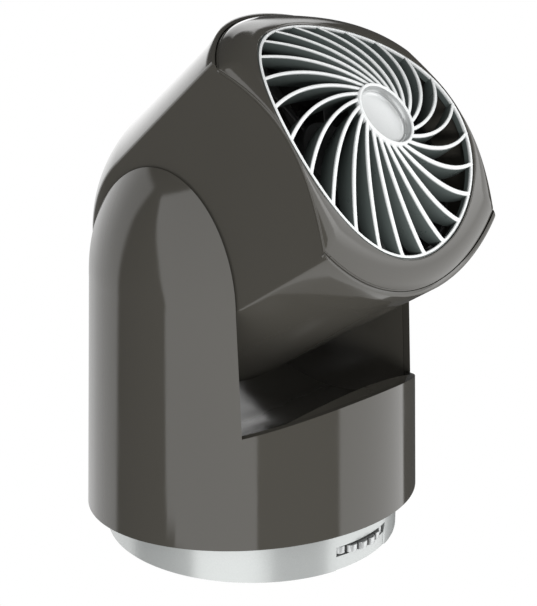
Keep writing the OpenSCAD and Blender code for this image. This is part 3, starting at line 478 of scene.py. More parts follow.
def capped(tubes):
    """Parts of several closed tubes of points: their sides, and a cap on each end."""
    count, rows, ring = tubes.shape[:3]
    _, sides = grid(tubes[0], True)
    starts = rows * ring * np.arange(count)[:, None]
    faces = (sides + starts[..., None]).reshape(-1, 4)
    ends = [starts + np.arange(ring), starts + np.arange((rows - 1) * ring, rows * ring)]
    return [(tubes.reshape(-1, 3), group) for group in (faces, *ends)]


def directions(number, first=0.0):
    """Even directions round an axis, one for each tube of a set."""
    return (first + 2 * math.pi * np.arange(number) / number)[:, None, None]


def mesh_object(name, points, faces, finish):
    """An object with a new mesh and one material, in the scene."""
    mesh = bpy.data.meshes.new(name)
    mesh.from_pydata(points, [], faces)
    mesh.materials.append(finish)
    made = bpy.data.objects.new(name, mesh)
    bpy.context.scene.collection.objects.link(made)
    return made


def store(mesh, name, values):
    """Keeps one number for each point of a mesh, for its material to read."""
    layer = mesh.attributes.new(name, "FLOAT", "POINT")
    layer.data.foreach_set("value", np.asarray(values, np.float32))


SAME_POINT = 2e-6
NO_EDGE = 1e-7
ROUNDED_FROM = math.radians(32)
SHARP_FROM = math.radians(35)


def piece(name, parts, body, slot, nodes, keep=None, bevel=0.0, wall=0.0, segments=2):
    """One object from grids and polygons: merged, turned outwards, then walled and rounded.

    parts holds (points, faces) pairs. keep, if given, holds one number per point, stored as
    the depth attribute. wall is a thickness inwards and bevel the width of rounded edges.
    """
    starts = np.cumsum([0] + [len(points) for points, _ in parts])
    points = np.vstack([points for points, _ in parts])
    faces = []
    for start, (_, group) in zip(starts, parts):
        faces += (np.asarray(group) + start).tolist()
    made = mesh_object(name, points.tolist(), faces, material(slot, finishes()[slot]))
    mesh = made.data
    if keep is not None:
        store(mesh, "depth", keep)
    work = bmesh.new()
    work.from_mesh(mesh)
    bmesh.ops.remove_doubles(work, verts=work.verts, dist=SAME_POINT)
    bmesh.ops.dissolve_degenerate(work, edges=work.edges, dist=NO_EDGE)
    bmesh.ops.recalc_face_normals(work, faces=work.faces)
    work.to_mesh(mesh)
    work.free()
    mesh.polygons.foreach_set("use_smooth", np.ones(len(mesh.polygons), bool))
    if wall:
        thick = made.modifiers.new("Wall", "SOLIDIFY")
        thick.thickness, thick.offset, thick.use_even_offset = wall, -1, True
    if bevel:
        soft = made.modifiers.new("Edges", "BEVEL")
        soft.width, soft.segments, soft.limit_method = bevel, segments, "ANGLE"
        soft.angle_limit, soft.harden_normals = ROUNDED_FROM, True
        soft.use_clamp_overlap = True
    else:
        mesh.set_sharp_from_angle(angle=SHARP_FROM)
    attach(made, body)
    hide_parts(*nodes)
    return made


def in_head(x, t, s):
    """World points from places across (x), up the face (t) and along the fan axis (s)."""
    head = settings("head")
    sin, cos = math.sin(head.tilt), math.cos(head.tilt)
    x, t, s = np.broadcast_arrays(x, t + head.axis_off, s)
    return np.stack([x, t * sin - s * cos, head.pivot_h + s * sin + t * cos], axis=-1)


def about_fan(r, angle, s):
    """World points at a distance from the fan axis, in a direction, and a place along it."""
    return in_head(r * np.cos(angle), r * np.sin(angle), s)


def about_body(r, angle, z):
    """World points at a distance from the body's axis, in a direction, and a height."""
    return np.stack(np.broadcast_arrays(r * np.cos(angle), r * np.sin(angle), z), axis=-1)


def arm_tip():
    """Radius of the body where the arm tops start to curve in."""
    body = settings("body")
    return body.radius - (body.spring_h - body.edge_h) * math.tan(body.lean)


def body_r(z, inset=0.0):
    """Outer radius of the body at a height: a leaning wall, then an arc over the arm tops."""
    body = settings("body")
    wall = body.radius - (z - body.edge_h) * math.tan(body.lean) - inset
    rise = np.clip(z - body.spring_h, 0, body.top_r - inset)
    arc = arm_tip() - body.top_r + np.sqrt((body.top_r - inset) ** 2 - rise**2)
    return np.where(z > body.spring_h, arc, wall)


def crown(x):
    """Height of the rim between the arms: an arc, highest in the middle."""
    body = settings("body")
    half, drop = body.arm_gap / 2, body.rim_h - body.rim_end_h
    radius = (half**2 + drop**2) / (2 * drop)
    return body.rim_h - radius + np.sqrt(radius**2 - np.clip(x, -half, half) ** 2)


def lower_edge(y):
    """Height of the shell's lower edge: a plane that rises towards the front."""
    body = settings("body")
    return body.edge_h - y * math.tan(body.edge_rise)


def arm_top(inset):
    """Height where the shell, drawn in by an inset, meets the plane of an arm's inner face."""
    body = settings("body")
    reach = body.arm_gap / 2 - arm_tip() + body.top_r
    return body.spring_h + math.sqrt((body.top_r - inset) ** 2 - reach**2)


ARM_COLUMNS, GAP_COLUMNS = 56, 72


def shell_side(inset, rows=26, arm_rows=90):
    """One face of the shell wall: a band below the rim, then the two arms.

    The band runs round the axis from the lower edge to the rim. Its columns are even within
    the arms and within the gaps. Each arm is a patch whose row at a height spans the angles
    where the wall lies beyond the plane of the arm's inner face.
    """
    body = settings("body")
    half, start = body.arm_gap / 2, body.rim_end_h
    corner = math.acos(half / body_r(start, inset))
    share = np.linspace(-1, 1, ARM_COLUMNS + 1)
    gap = np.linspace(corner, math.pi - corner, GAP_COLUMNS + 1)[1:-1]
    angles = np.concatenate([share * corner, gap, math.pi + share * corner, math.pi + gap])
    foot = lower_edge(body_r(body.edge_h, inset) * np.sin(angles))
    side = np.abs(np.cos(angles)) * body_r(start, inset)
    rim = np.where(side >= half - 1e-9, start, crown(side))
    z = foot + (rim - foot) * np.linspace(0, 1, rows + 1)[:, None]
    band = about_body(body_r(z, inset), angles, z)
    top = arm_top(inset)
    height = top - (top - start) * (1 - np.linspace(0, 1, arm_rows + 1)[:, None]) ** 2
    radius = body_r(height, inset)
    spread = np.arccos(np.clip(half / radius, -1, 1)) * share
    arms = [about_body(radius, spread + middle, height) for middle in (0, math.pi)]
    return band, arms


def shell_parts():
    """The closed shell: outer and inner face, the lower edge, the rim and the arms' edges."""
    outer, outer_arms = shell_side(0.0)
    inner, inner_arms = shell_side(settings("body").wall)
    parts = [grid(outer, True), grid(inner, True), bridge(outer[0], inner[0], True)]
    for first in (ARM_COLUMNS, 2 * ARM_COLUMNS + GAP_COLUMNS):
        rim = np.arange(first, first + GAP_COLUMNS + 1) % outer.shape[1]
        parts.append(bridge(outer[-1][rim], inner[-1][rim]))
    for outside, inside in zip(outer_arms, inner_arms):
        parts += [grid(outside), grid(inside)]
        parts += [bridge(outside[:, edge], inside[:, edge]) for edge in (0, -1)]
    return parts


class FAN_OT_shell(bpy.types.Operator):
    """Makes the glossy body shell with its two arms"""

    bl_idname = "fan.shell"
    bl_label = "Body shell"

    def execute(self, context):
        piece("body_shell_skin", shell_parts(), "body", "shell_plastic", ["body_shell"],
              bevel=0.0006, segments=3)
        return {"FINISHED"}


SETTLED = 8


def under_line(x, inset=0.0):
    """Height of the underside beside the tilt axis, where s = 0, at a place across."""
    head = settings("head")
    arc = np.sqrt((head.under_r - inset) ** 2 - x**2) / math.cos(head.under_slope)
    return head.under_r - head.under_d - arc


def cone(x, t, s):
    """Height, in the bezel's leaning frame, of the cone that ends the flat sides in front."""
    head = settings("head")
    up = t * math.cos(head.lean) - s * math.sin(head.lean) + head.crease_drop
    return head.crease - head.crease_slope * (np.hypot(x, up) - head.half)


def upright(leaning, t):
    """Distance along the fan axis from a height in the bezel's leaning frame."""
    lean = settings("head").lean
    return (leaning - t * math.sin(lean)) / math.cos(lean)


def crease(t):
    """Distance of the flat sides' front along the fan axis, at a height up the face.

    The height decides the distance and the distance the height, so they are worked out in
    turn until they have settled.
    """
    head = settings("head")
    s = np.full_like(np.asarray(t, float), head.crease)
    for _ in range(SETTLED):
        s = upright(cone(head.half, t, s), t)
    return s


def bezel_corners():
    """Height and distance of the bezel's corners, above and below."""
    head = settings("head")
    inset = head.wall + head.gap
    top = math.sqrt((head.radius - inset) ** 2 - head.half**2)
    low, s = -head.half, head.crease
    for _ in range(SETTLED):
        low = float(under_line(head.half, inset)) - s * math.tan(head.under_slope)
        s = float(crease(low))
    return (top, float(crease(top))), (low, s)


def seam(x, above):
    """Leaning height of the seam on the round sides: an arc from corner to corner."""
    head = settings("head")
    t, s = bezel_corners()[0 if above else 1]
    middle = head.seam_top if above else head.seam_low
    drop = s * math.cos(head.lean) + t * math.sin(head.lean) - middle
    radius = (head.half**2 + drop**2) / (2 * drop)
    return middle + radius - np.sqrt(radius**2 - x**2)


def bezel_edge(angle):
    """Distance from the fan axis and along it of the bezel's outer edge, in a direction."""
    head = settings("head")
    inset, slope = head.wall + head.gap, math.cos(head.under_slope) ** 2
    sin, cos, tiny = np.sin(angle), np.cos(angle), 1e-4
    s = np.full_like(angle, head.crease)
    for _ in range(SETTLED):
        drop = head.under_r - head.under_d - s * math.tan(head.under_slope)
        share, lift = cos**2 + slope * sin**2, drop * slope * sin
        under = lift + np.sqrt(lift**2 - share * (slope * drop**2 - (head.under_r - inset) ** 2))
        far = np.minimum(under / share, head.half / np.maximum(np.abs(cos), tiny))
        far = np.where(sin > 0, np.minimum(far, head.radius - inset), far)
        x, t = far * cos, far * sin
        arc = np.clip(x, -head.half, head.half)
        rounds = upright(np.where(sin > 0, seam(arc, True), seam(arc, False)), t)
        s = np.where(np.abs(x) > head.half - HAIR / 2, crease(t), rounds)
    return far, s


def shoulder(x, above, wall, inward, turns=6):
    """Rows from the mouth out to the wall; wall(s) is its height up the face at a distance."""
    head = settings("head")
    over = np.linspace(math.pi / 2, 0, turns)[:, None]
    arc = seam(x, above) - head.gap
    s = arc
    for _ in range(SETTLED):
        s = upright(arc, wall(s))
    t = wall(s) + inward * head.wall * (1 - np.cos(over))
    return t, upright(arc, t) - head.shoulder * (1 - np.sin(over))


def head_skin(columns=84, straight=18, curved=90):
    """Points of the head's skin: one U-shaped profile carried across from side to side.

    At each place across, the profile turns out of the mouth over a rounded shoulder, runs back
    along the top, round the back as an arc of the sphere, and forward along the underside to
    the shoulder below. Towards a flat side the profile draws in, which rounds the long edges.
    """
    head = settings("head")
    bend = np.linspace(0, math.pi / 2, 6)[1:]
    flat = head.half - head.round_r
    side = flat + head.round_r * np.sin(bend)
    x = np.concatenate([-side[::-1], np.linspace(-flat, flat, columns + 1), side])
    inset = np.zeros_like(x)
    inset[-5:] = head.round_r * (1 - np.cos(bend))
    inset[:5] = inset[:-6:-1]
    circle = np.sqrt(head.radius**2 - x**2) - inset
    low, tan = under_line(x) + inset, math.tan(head.under_slope)
    top_t, top_s = shoulder(x, True, lambda s: circle, -1)
    low_t, low_s = shoulder(x, False, lambda s: low - s * tan, 1)
    share = np.linspace(0, 1, straight + 1)[1:, None]
    stop = np.arccos(np.clip(low * math.cos(head.under_slope) / circle, -1, 1))
    stop = stop - head.under_slope
    back = stop * np.linspace(0, 1, curved + 1)[1:, None]
    end = -circle * np.sin(stop)
    run = end + (low_s[-1] - end) * share
    rows = [(top_t, top_s), (circle, top_s[-1] * (1 - share)),
            (circle * np.cos(back), -circle * np.sin(back)),
            (low - run * tan, run), (low_t[::-1][1:], low_s[::-1][1:])]
    return np.concatenate([np.stack(np.broadcast_arrays(x, t, s), axis=-1) for t, s in rows])


def rear_opening(skin, cell):
    """Draws the skin's points near the opening's rim onto it, and tells which lie within."""
    hole, reach, tiny = settings("grille").rear_r + HAIR, 0.55 * cell, 1e-6
    away = np.hypot(skin[..., 0], skin[..., 1])
    near = (np.abs(away - hole) < reach) & (skin[..., 2] < 0)
    drawn = skin[..., :2] * hole / np.maximum(away, tiny)[..., None]
    skin[..., :2] = np.where(near[..., None], drawn, skin[..., :2])
    skin[..., 2][near] = -math.sqrt(settings("head").radius ** 2 - hole**2)
    away = np.hypot(skin[..., 0], skin[..., 1])
    return (away < hole + HAIR / 10) & (skin[..., 2] < 0)


def head_parts(columns=84, front_points=61):
    """The head's skin, open at the rear grille, and its two flat sides."""
    head = settings("head")
    skin = head_skin(columns)
    inside = rear_opening(skin, 2 * head.half / columns)
    points, faces = grid(in_head(*np.moveaxis(skin, -1, 0)))
    parts = [(points, faces[~inside.reshape(-1)[faces].all(axis=1)])]
    (top, _), (low, _) = bezel_corners()
    t = np.linspace(low, top, front_points)
    s = crease(t) - head.edge - HAIR
    for column in (0, -1):
        edge = skin[:, column]
        front = np.stack([np.full_like(t, edge[0, 0]), t, s], axis=-1)
        loop = np.concatenate([edge, front])
        parts.append((in_head(*loop.T), [list(range(len(loop)))]))
    return parts


class FAN_OT_head(bpy.types.Operator):
    """Makes the glossy head shell"""

    bl_idname = "fan.head"
    bl_label = "Head shell"

    def execute(self, context):
        piece("head_shell_skin", head_parts(), "head", "shell_plastic", ["head_shell"],
              wall=settings("head").wall - 2 * HAIR, bevel=1.5 * HAIR)
        return {"FINISHED"}


def rim_place(angle):
    """Distance of the grille's rim along the fan axis: low above and below, high aside."""
    grille = settings("grille")
    middle, swing = (grille.low + grille.side) / 2, (grille.side - grille.low) / 2
    return middle + swing * np.cos(2 * angle)


def bezel_angles(per_side=48, per_round=64):
    """Directions of the bezel's sections, even between the four corners of the head's outline."""
    top, low = (math.atan2(t, settings("head").half) for t, _ in bezel_corners())
    far_top, far_low = math.pi - top, math.pi - low
    runs = [(low, top, per_side), (top, far_top, per_round),
            (far_top, far_low, per_side), (far_low, 2 * math.pi + low, per_round)]
    return np.concatenate([np.linspace(a, b, n, endpoint=False) for a, b, n in runs])


def bezel_rows():
    """Rows of points round the bezel; each direction has one closed section.

    A section starts at the opening's rounded edge, runs out over the swelling front to the
    rounded outer edge, comes in along the underside and goes up inside the lip. Around one
    direction, near the top of the face, the front laps over the grille's rim.
    """
    head, grille = settings("head"), settings("grille")
    fit, lip_wall, front_wall, outer_soft, inner_soft = 0.0003, 0.0011, 0.0016, 0.0005, 0.0004
    lap_at, lap_reach, lap_in, lap_up = math.radians(68), math.radians(52), 0.0015, 0.0006
    angle = bezel_angles()
    far, edge = bezel_edge(angle)
    lap = np.clip((1 - np.abs(angle - lap_at) / lap_reach) * 4, 0, 1)
    opening = grille.radius + fit
    near, top = opening - lap_in * lap, rim_place(angle) + lap_up * lap
    lip = np.minimum(opening + lip_wall, far - outer_soft)
    slant = edge + (top - edge) * (far - lip) / (far - opening)
    under = np.minimum(slant, top) - front_wall
    at_side = lip * np.abs(np.cos(angle)) > head.half - 2 * head.wall
    lip_low = np.where(at_side, grille.side, top) - head.lip
    width = np.hypot(far - near, top - edge)
    inward, rise = (near - far) / width, (top - edge) / width
    soft, inner = np.minimum(outer_soft, 0.4 * width), np.minimum(inner_soft, 0.2 * width)
    loop = [(near, top - inner), (near - 0.3 * inward * inner, top - 0.3 * inner),
            (near - inward * inner, top - rise * inner)]
    corner = np.where(np.sin(angle) > 0, np.sin(2 * angle) ** 2, 0)
    swell = 4 * (head.swell + head.corner_swell * corner)
    for k in np.linspace(0, 1, 17):
        reach = 1.3 * inner + (width - 1.3 * inner - 1.3 * soft) * k
        out = swell * reach * (width - reach) / width
        loop.append((near - inward * reach + rise * out, top - rise * reach - inward * out))
    for k in np.linspace(0, 1, 6):
        ease = soft * (1 - k) ** 2
        loop.append((far + inward * ease, edge + rise * ease - soft * k**2))
    loop += [(far, edge - head.edge), (lip, np.maximum(under, edge - head.edge)),
             (lip, lip_low), (opening, lip_low), (opening, top - inner)]
    return np.stack([about_fan(r, angle, s) for r, s in loop + loop[:1]])


class FAN_OT_bezel(bpy.types.Operator):
    """Makes the bezel between the head shell and the grille"""

    bl_idname = "fan.bezel"
    bl_label = "Bezel"

    def execute(self, context):
        piece("front_bezel_skin", [grid(bezel_rows(), True)], "head", "shell_plastic",
              ["front_bezel"])
        return {"FINISHED"}


def spoke_path(inner, outer, arc_r, arc_c, steps):
    """Centre line of a spoke from the hub to the rim: an arc, as angles about its own centre."""

    def at(radius):
        return -math.acos((radius**2 - arc_c**2 - arc_r**2) / (2 * arc_c * arc_r))

    return np.linspace(at(inner), at(outer), steps + 1)


# A spoke's section: places across in thicknesses, and below its front in depths
SECTION_ACROSS = np.array([-0.5, -0.42, -0.2, 0.2, 0.42, 0.5, 0.5, 0.36, -0.36, -0.5])
SECTION_DOWN = np.array([0.05, 0.014, 0.0, 0.0, 0.014, 0.05, 0.14, 1.0, 1.0, 0.14])


def spoke_set(inner, outer, share, front, depth, steps=28):
    """All spokes of a grille at once: a rounded blade section carried along each arc.

    share is the arc's size against the front grille's, front(r, angle) the height of the
    front edge and depth(u) the blade's depth, u being 0 at the hub and 1 at the rim. Returns
    the parts, and the share of depth of each point.
    """
    g = settings("grille")
    arc_r, arc_c = g.arc_r * share, g.arc_c * share
    path = spoke_path(inner, outer, arc_r, arc_c, steps)[:, None]
    radius = arc_r + SECTION_ACROSS * g.spoke_t
    x, y = arc_c + radius * np.cos(path), radius * np.sin(path)
    base = directions(g.spokes, g.first)
    px, py = x * np.cos(base) - y * np.sin(base), x * np.sin(base) + y * np.cos(base)
    down = depth(np.linspace(0, 1, steps + 1))[:, None] * SECTION_DOWN
    tubes = in_head(px, py, front(np.hypot(px, py), np.arctan2(py, px)) - down)
    return capped(tubes), np.broadcast_to(SECTION_DOWN, tubes.shape[:-1]).reshape(-1)


def revolve(profile, columns=96, place=0.0):
    """A closed profile of (radius, s) turned about the fan axis.

    place is added to s: a number, or a function of the direction.
    """
    angle = np.linspace(0, 2 * math.pi, columns, endpoint=False)
    r, s = np.array(profile + profile[:1]).T[..., None]
    return grid(about_fan(r, angle, s + (place(angle) if callable(place) else place)), True)


def grille_height(r, angle):
    """Front of the grille: a shallow dome from the hub down to the rim."""
    grille = settings("grille")
    share = np.minimum(r / (grille.radius - grille.rim_w), 1)
    return grille.hub_s + (rim_place(angle) - grille.hub_s) * share**2


def spoke_depth(u):
    """Depth of a front spoke: 7 mm at the hub, 5 mm at the rim and up to 5 mm more between."""
    return 0.007 - 0.002 * u + 0.02 * u * (1 - u)


class FAN_OT_grille(bpy.types.Operator):
    """Makes the swirl grille with its rim and hub, and the dished disc in the hub"""

    bl_idname = "fan.grille"
    bl_label = "Front grille"

    def execute(self, context):
        g = settings("grille")
        soft, line_w, step, around, hub_around = 0.00035, 0.0013, 0.0008, 144, 96
        spokes, shares = spoke_set(
            g.hub_r - 0.0005, g.radius - g.rim_w / 2, 1.0,
            lambda r, angle: grille_height(r, angle) - HAIR / 2, spoke_depth)
        rim_in = g.radius - g.rim_w
        line = rim_in + line_w
        rim = [(rim_in, -soft), (rim_in + soft, 0.0), (line - soft, 0.0), (line, -soft),
               (line, -step), (g.radius, -step), (g.radius, -g.rim_d), (rim_in, -g.rim_d)]
        hub_in, mouth, shelf = g.hub_r - g.hub_wall, g.hub_r - 0.0014, 0.003
        floor, back, pin_r = 0.0068, 0.008, 0.0005
        hub = [(g.hub_r, -soft * 1.4), (g.hub_r - soft, 0.0), (mouth + soft, 0.0),
               (mouth, -soft), (mouth, -shelf), (hub_in, -shelf - HAIR), (hub_in, -floor),
               (pin_r, -floor), (pin_r, -back), (g.hub_r, -back)]
        keep = [shares] * len(spokes)
        # Rim and hub points below the front take the fin colour, with a little painted shade from
        # their depth.
        for profile, columns in ((rim, around), (hub, hub_around)):
            low = np.array([-s for _, s in profile + profile[:1]]) > 0.0007
            keep.append(np.repeat(np.where(low, 0.35, 0.0), columns))
        parts = spokes + [revolve(rim, around, rim_place), revolve(hub, hub_around, g.hub_s)]
        piece("front_grille_swirl", parts, "head", "grille_white", ["front_grille"],
              keep=np.concatenate(keep))

        wall_r, deep, bowl, edge_d, disc_back = 0.0122, 0.0038, 0.0005, 0.0006, 0.0062
        disc_r, seat_r = mouth - HAIR / 2, hub_in - HAIR
        dish = [(r, -deep - bowl * (1 - (r / wall_r) ** 2)) for r in np.linspace(0, wall_r, 12)]
        for k in np.linspace(0, 1, 7)[1:]:
            r = wall_r + (disc_r - wall_r) * math.sin(k * math.pi / 2)
            dish.append((r, -deep + (deep - edge_d) * k**1.6))
        dish += [(disc_r, HAIR - shelf), (seat_r, -shelf), (seat_r, -disc_back), (0.0, -disc_back)]
        piece("hub_dish", [revolve(dish, hub_around, g.hub_s)], "head", "disc_silver",
              ["hub_disc"])
        return {"FINISHED"}


class FAN_OT_rear(bpy.types.Operator):
    """Makes the rear air grille"""

    bl_idname = "fan.rear"
    bl_label = "Rear grille"

    def execute(self, context):
        g, head = settings("grille"), settings("head")

        def back(r, deep=0.0):
            """The head's sphere at a distance from the fan axis, and a depth inside it."""
            return deep - np.sqrt(head.radius**2 - r**2)

        rim_in, cap_r, thick, soft, pin_r = g.rear_r - 0.003, 0.009, 0.002, 0.0003, 0.0004
        spokes, _ = spoke_set(
            cap_r - 0.001, rim_in + 0.0015, g.rear_r / g.radius,
            lambda r, angle: back(r, thick), lambda u: np.full_like(u, thick - HAIR / 2), 18)
        rim = [(rim_in, back(rim_in, thick)), (g.rear_r, back(g.rear_r, thick)),
               (g.rear_r, back(g.rear_r, soft)), (g.rear_r - soft, back(g.rear_r)),
               (rim_in, back(rim_in))]
        cap = [(r, back(r)) for r in np.linspace(pin_r, cap_r - 0.0002, 8)]
        cap += [(cap_r, back(cap_r, 0.0004)), (cap_r, back(cap_r, thick)),
                (pin_r, back(0.0, thick))]
        piece("rear_grille_swirl", spokes + [revolve(rim, 144), revolve(cap, 64)], "head",
              "black_plastic", ["rear_grille"])
        return {"FINISHED"}


def blade_points(steps=24, across=14):
    """A blade's two faces: a cambered chord that turns from steep at the hub to flat outside.

    Returns the distance from the fan axis, the direction and the place along it. The camber
    and the thickness are parabolas over the chord, v being 0 at its front edge and 1 at its
    rear.
    """
    g = settings("grille")
    root_r, middle = g.fan_hub_r - 0.001, g.fan_back + 0.009
    u = np.linspace(0, 1, steps + 1)[:, None]
    v = np.concatenate([np.linspace(0, 1, across + 1), np.linspace(1, 0, across + 1)])
    face = np.repeat([-1.0, 1.0], across + 1)
    r = root_r + (g.fan_r - root_r) * u
    pitch, chord = np.radians(48 - 21 * u), 0.018 + 0.016 * u
    bow = 4 * v * (1 - v)
    along, thick = (v - 0.5) * chord, 0.0016 * (0.35 + 0.65 * bow)
    rise = 0.12 * chord * bow + face * thick / 2
    side = along * np.cos(pitch) - rise * np.sin(pitch)
    return r, side / r, along * np.sin(pitch) + rise * np.cos(pitch) + middle


class FAN_OT_impeller(bpy.types.Operator):
    """Makes the impeller behind the grille"""

    bl_idname = "fan.impeller"
    bl_label = "Impeller"

    def execute(self, context):
        g = settings("grille")
        r, angle, s = blade_points()
        blades = capped(about_fan(r, angle + directions(g.blades), s))
        back, front, wall = g.fan_back, g.fan_back + 0.018, 0.0016
        bore_r, boss_r, drum_r, out_r = 0.0026, 0.0075, g.fan_hub_r - 2 * wall, g.fan_hub_r
        hub = [(bore_r, front), (out_r - 0.003, front), (out_r - 0.001, front - 0.0008),
               (out_r, front - 0.003), (out_r, back), (drum_r, back), (drum_r, front - wall),
               (boss_r, front - wall), (boss_r, back), (bore_r, back)]
        piece("impeller_blades", blades + [revolve(hub, 72)], "fan", "impeller_plastic",
              ["impeller"])
        return {"FINISHED"}


def ring_part(slot_columns=24, other_columns=200):
    """The base ring's outer face, with the slot left out and a shallow panel below it."""
    base, body = settings("base"), settings("body")
    half, join = math.asin(base.slot_w / 2 / base.radius), 0.003
    panel, floor_step = 0.0006, 0.0015
    left, right = -math.pi / 2 - half, -math.pi / 2 + half
    angle = np.concatenate([np.linspace(left, right, slot_columns + 1),
                            np.linspace(right + join, left - join + 2 * math.pi, other_columns)])
    top = body.edge_h + floor_step / math.cos(body.edge_rise) - HAIR
    top = top - base.radius * np.sin(angle) * math.tan(body.edge_rise)
    slot_top = base.slot_low + base.slot_h
    z = np.stack(np.broadcast_arrays(
        base.low, (base.low + base.slot_low) / 2, base.slot_low, slot_top,
        np.maximum((slot_top + top) / 2, slot_top + 0.0002),
        np.maximum(top, slot_top + 0.0004)))
    r = np.full_like(z, base.radius)
    r[:3, :slot_columns + 1] -= panel
    points, faces = grid(about_body(r, angle, z), True)
    row, column = np.divmod(faces[:, 0], len(angle))
    return points, faces[(row != 2) | (column >= slot_columns)]


def wheel_rows():
    """Rows of points round the thumbwheel, and the depth of each point, which its material turns
    into painted shade.

    The ribs are a power of a sine. The profile runs from the bore under the wheel, up its
    ribbed outside and over the top, with a trough between the ribs and the bore.
    """
    base = settings("base")
    angle = np.linspace(0, 2 * math.pi, base.ribs * 12, endpoint=False)
    tooth = np.abs(np.sin(angle * base.ribs / 2)) ** 0.7
    rib, soft, bore_r, boss_r, boss_low, trough_w = 0.0017, 0.0005, 0.003, 0.007, 0.0072, 0.006
    low = base.slot_low + (base.slot_h - base.dial_t) / 2
    high, floor = low + base.dial_t, low + 0.002
    root_r = base.dial_r - rib
    outer, trough_r = root_r + rib * tooth, root_r - trough_w
    rows = [(bore_r, boss_low), (boss_r, boss_low), (boss_r, low), (outer - soft, low),
            (outer - soft * 0.3, low + soft * 0.3), (outer, low + soft), (outer, high - soft),
            (outer - soft * 0.3, high - soft * 0.3), (outer - soft, high), (trough_r, high),
            (trough_r, floor), (boss_r, floor), (boss_r, high), (bore_r, high),
            (bore_r, boss_low)]
    wheel = np.stack([about_body(r, angle, z) for r, z in rows]) - (0, base.dial_y, 0)
    # Painted shade: points off the ribbed outside get a fixed depth that darkens them, and on the
    # outside it grows from tip to root.
    depth = np.full(wheel.shape[:2], 0.62)
    depth[4:8] = 1 - tooth
    return wheel, depth.reshape(-1)


class FAN_OT_base(bpy.types.Operator):
    """Makes the silver base ring and its ribbed thumbwheel"""

    bl_idname = "fan.base"
    bl_label = "Base ring and dial"

    def execute(self, context):
        piece("base_ring_wall", [ring_part()], "body", "ring_silver", ["base_ring"],
              wall=settings("base").wall, bevel=0.0004, segments=3)
        wheel, depth = wheel_rows()
        piece("thumbwheel", [grid(wheel, True)], "dial", "dial_silver", ["speed_dial"],
              keep=depth)
        return {"FINISHED"}


class FAN_OT_finish(bpy.types.Operator):
    """Gives every CAD piece that stays its own finish"""

    bl_idname = "fan.finish"
    bl_label = "Finishes"

    def execute(self, context):
        makers = finishes()
        for entry in frame["record"]["subparts"]:
            shown, slot = frame["nodes"][entry["node"]], entry["material_slot"]
            made = material(slot, makers[slot])
            if not shown.material_slots:
                shown.data.materials.append(made)
            for place in shown.material_slots:
                place.material = made
        return {"FINISHED"}


def aim(thing, spot, target):
    """Puts a lamp or camera at a spot, looking at a target."""
    thing.location = spot
    thing.rotation_mode = "QUATERNION"
    thing.rotation_quaternion = (Vector(target) - Vector(spot)).to_track_quat("-Z", "Y")
    bpy.context.scene.collection.objects.link(thing)


def lamp(name, spot, target, width, height, watts):
    """A soft rectangular lamp that is not seen itself."""
    data = bpy.data.lights.new(name, "AREA")
    data.shape, data.size, data.size_y, data.energy = "RECTANGLE", width, height, watts
    made = bpy.data.objects.new(name, data)
    aim(made, spot, target)
    made.visible_camera = made.visible_glossy = made.visible_transmission = False
    return made


CAMERA_SPOT = Vector((-0.4054, -0.3815, 0.2683))
CAMERA_AHEAD = (0.7283, 0.6853)
CAMERA_DOWN = math.radians(15.45)
CAMERA_TURN = -46.74
MIDDLE = (0, 0, 0.12)


def make_camera():
    """The camera at the photograph's place."""
    stage = settings("stage")
    data = bpy.data.cameras.new("photo_camera")
    data.sensor_width, data.lens, data.shift_x = 36.0, stage.lens, stage.shift
    data.clip_start, data.clip_end = 0.01, 50.0
    camera = bpy.data.objects.new("photo_camera", data)
    right, ahead = (part * math.cos(CAMERA_DOWN) for part in CAMERA_AHEAD)
    aim(camera, CAMERA_SPOT, CAMERA_SPOT + Vector((right, ahead, -math.sin(CAMERA_DOWN))))
    bpy.context.scene.camera = camera


def make_world():
    """White where it is seen or reflected, and dimmer as light."""
    stage = settings("stage")
    world = bpy.data.worlds.new("studio")
    bpy.context.scene.world = world
    paint = Paint(world)
    seen = paint.rays("Camera", "Glossy", "Transmission")
    level = paint.add("Math", {0: seen, 1: 1.0}, operation="MINIMUM")
    strength = stage.sky + level * (1 - stage.sky)
    back = paint.tree.nodes["Background"]
    paint.fill(back, {"Color": (*tone("floor"), 1), "Strength": strength})


def make_floor(half=6, lit=1.1):
    """A pale floor: white to the camera, and a little brighter as light on the object."""
    white = tone("floor")
    paint = Paint(bpy.data.materials.new("floor"))
    both = {0: paint.rays("Camera"), 1: paint.glow(lit, white), 2: paint.glow(1.0, white)}
    corners = [(-half, -half, 0), (half, -half, 0), (half, half, 0), (-half, half, 0)]
    finish = paint.show(paint.add("MixShader", both))
    ground = mesh_object("floor", corners, [(0, 1, 2, 3)], finish)
    ground.visible_glossy = False
    return ground


def make_cards(columns=361, rise=100, cover=24, wide=2.0, low=-2.2, high=3.6):
    """A wall round the object and a ceiling, seen only in reflections.

    Its brightness is stored for each point, by the direction it is seen in.
    """
    turns = np.radians(np.linspace(0, 360, columns) + CAMERA_TURN - 180)
    reach = np.concatenate([np.full(rise, wide), np.linspace(wide, 0.01, cover)])[:, None]
    height = np.concatenate([np.linspace(low, high, rise), np.full(cover, high)])[:, None]
    points, faces = grid(np.stack(np.broadcast_arrays(
        reach * np.sin(turns), -reach * np.cos(turns), height), -1))
    paint = Paint(bpy.data.materials.new("cards"))
    finish = paint.show(paint.glow(paint.stored("level") * settings("stage").card))
    wall = mesh_object("cards", points.tolist(), faces.tolist(), finish)
    side = np.tile(np.linspace(-180, 180, columns), len(reach))
    away = np.hypot(points[:, 0], points[:, 1])
    lift = np.degrees(np.arctan2(points[:, 2] - MIDDLE[2], away))
    store(wall.data, "level", card_level(side, lift))
    wall.visible_camera = wall.visible_diffuse = False
    wall.visible_shadow = wall.visible_transmission = False
    return wall


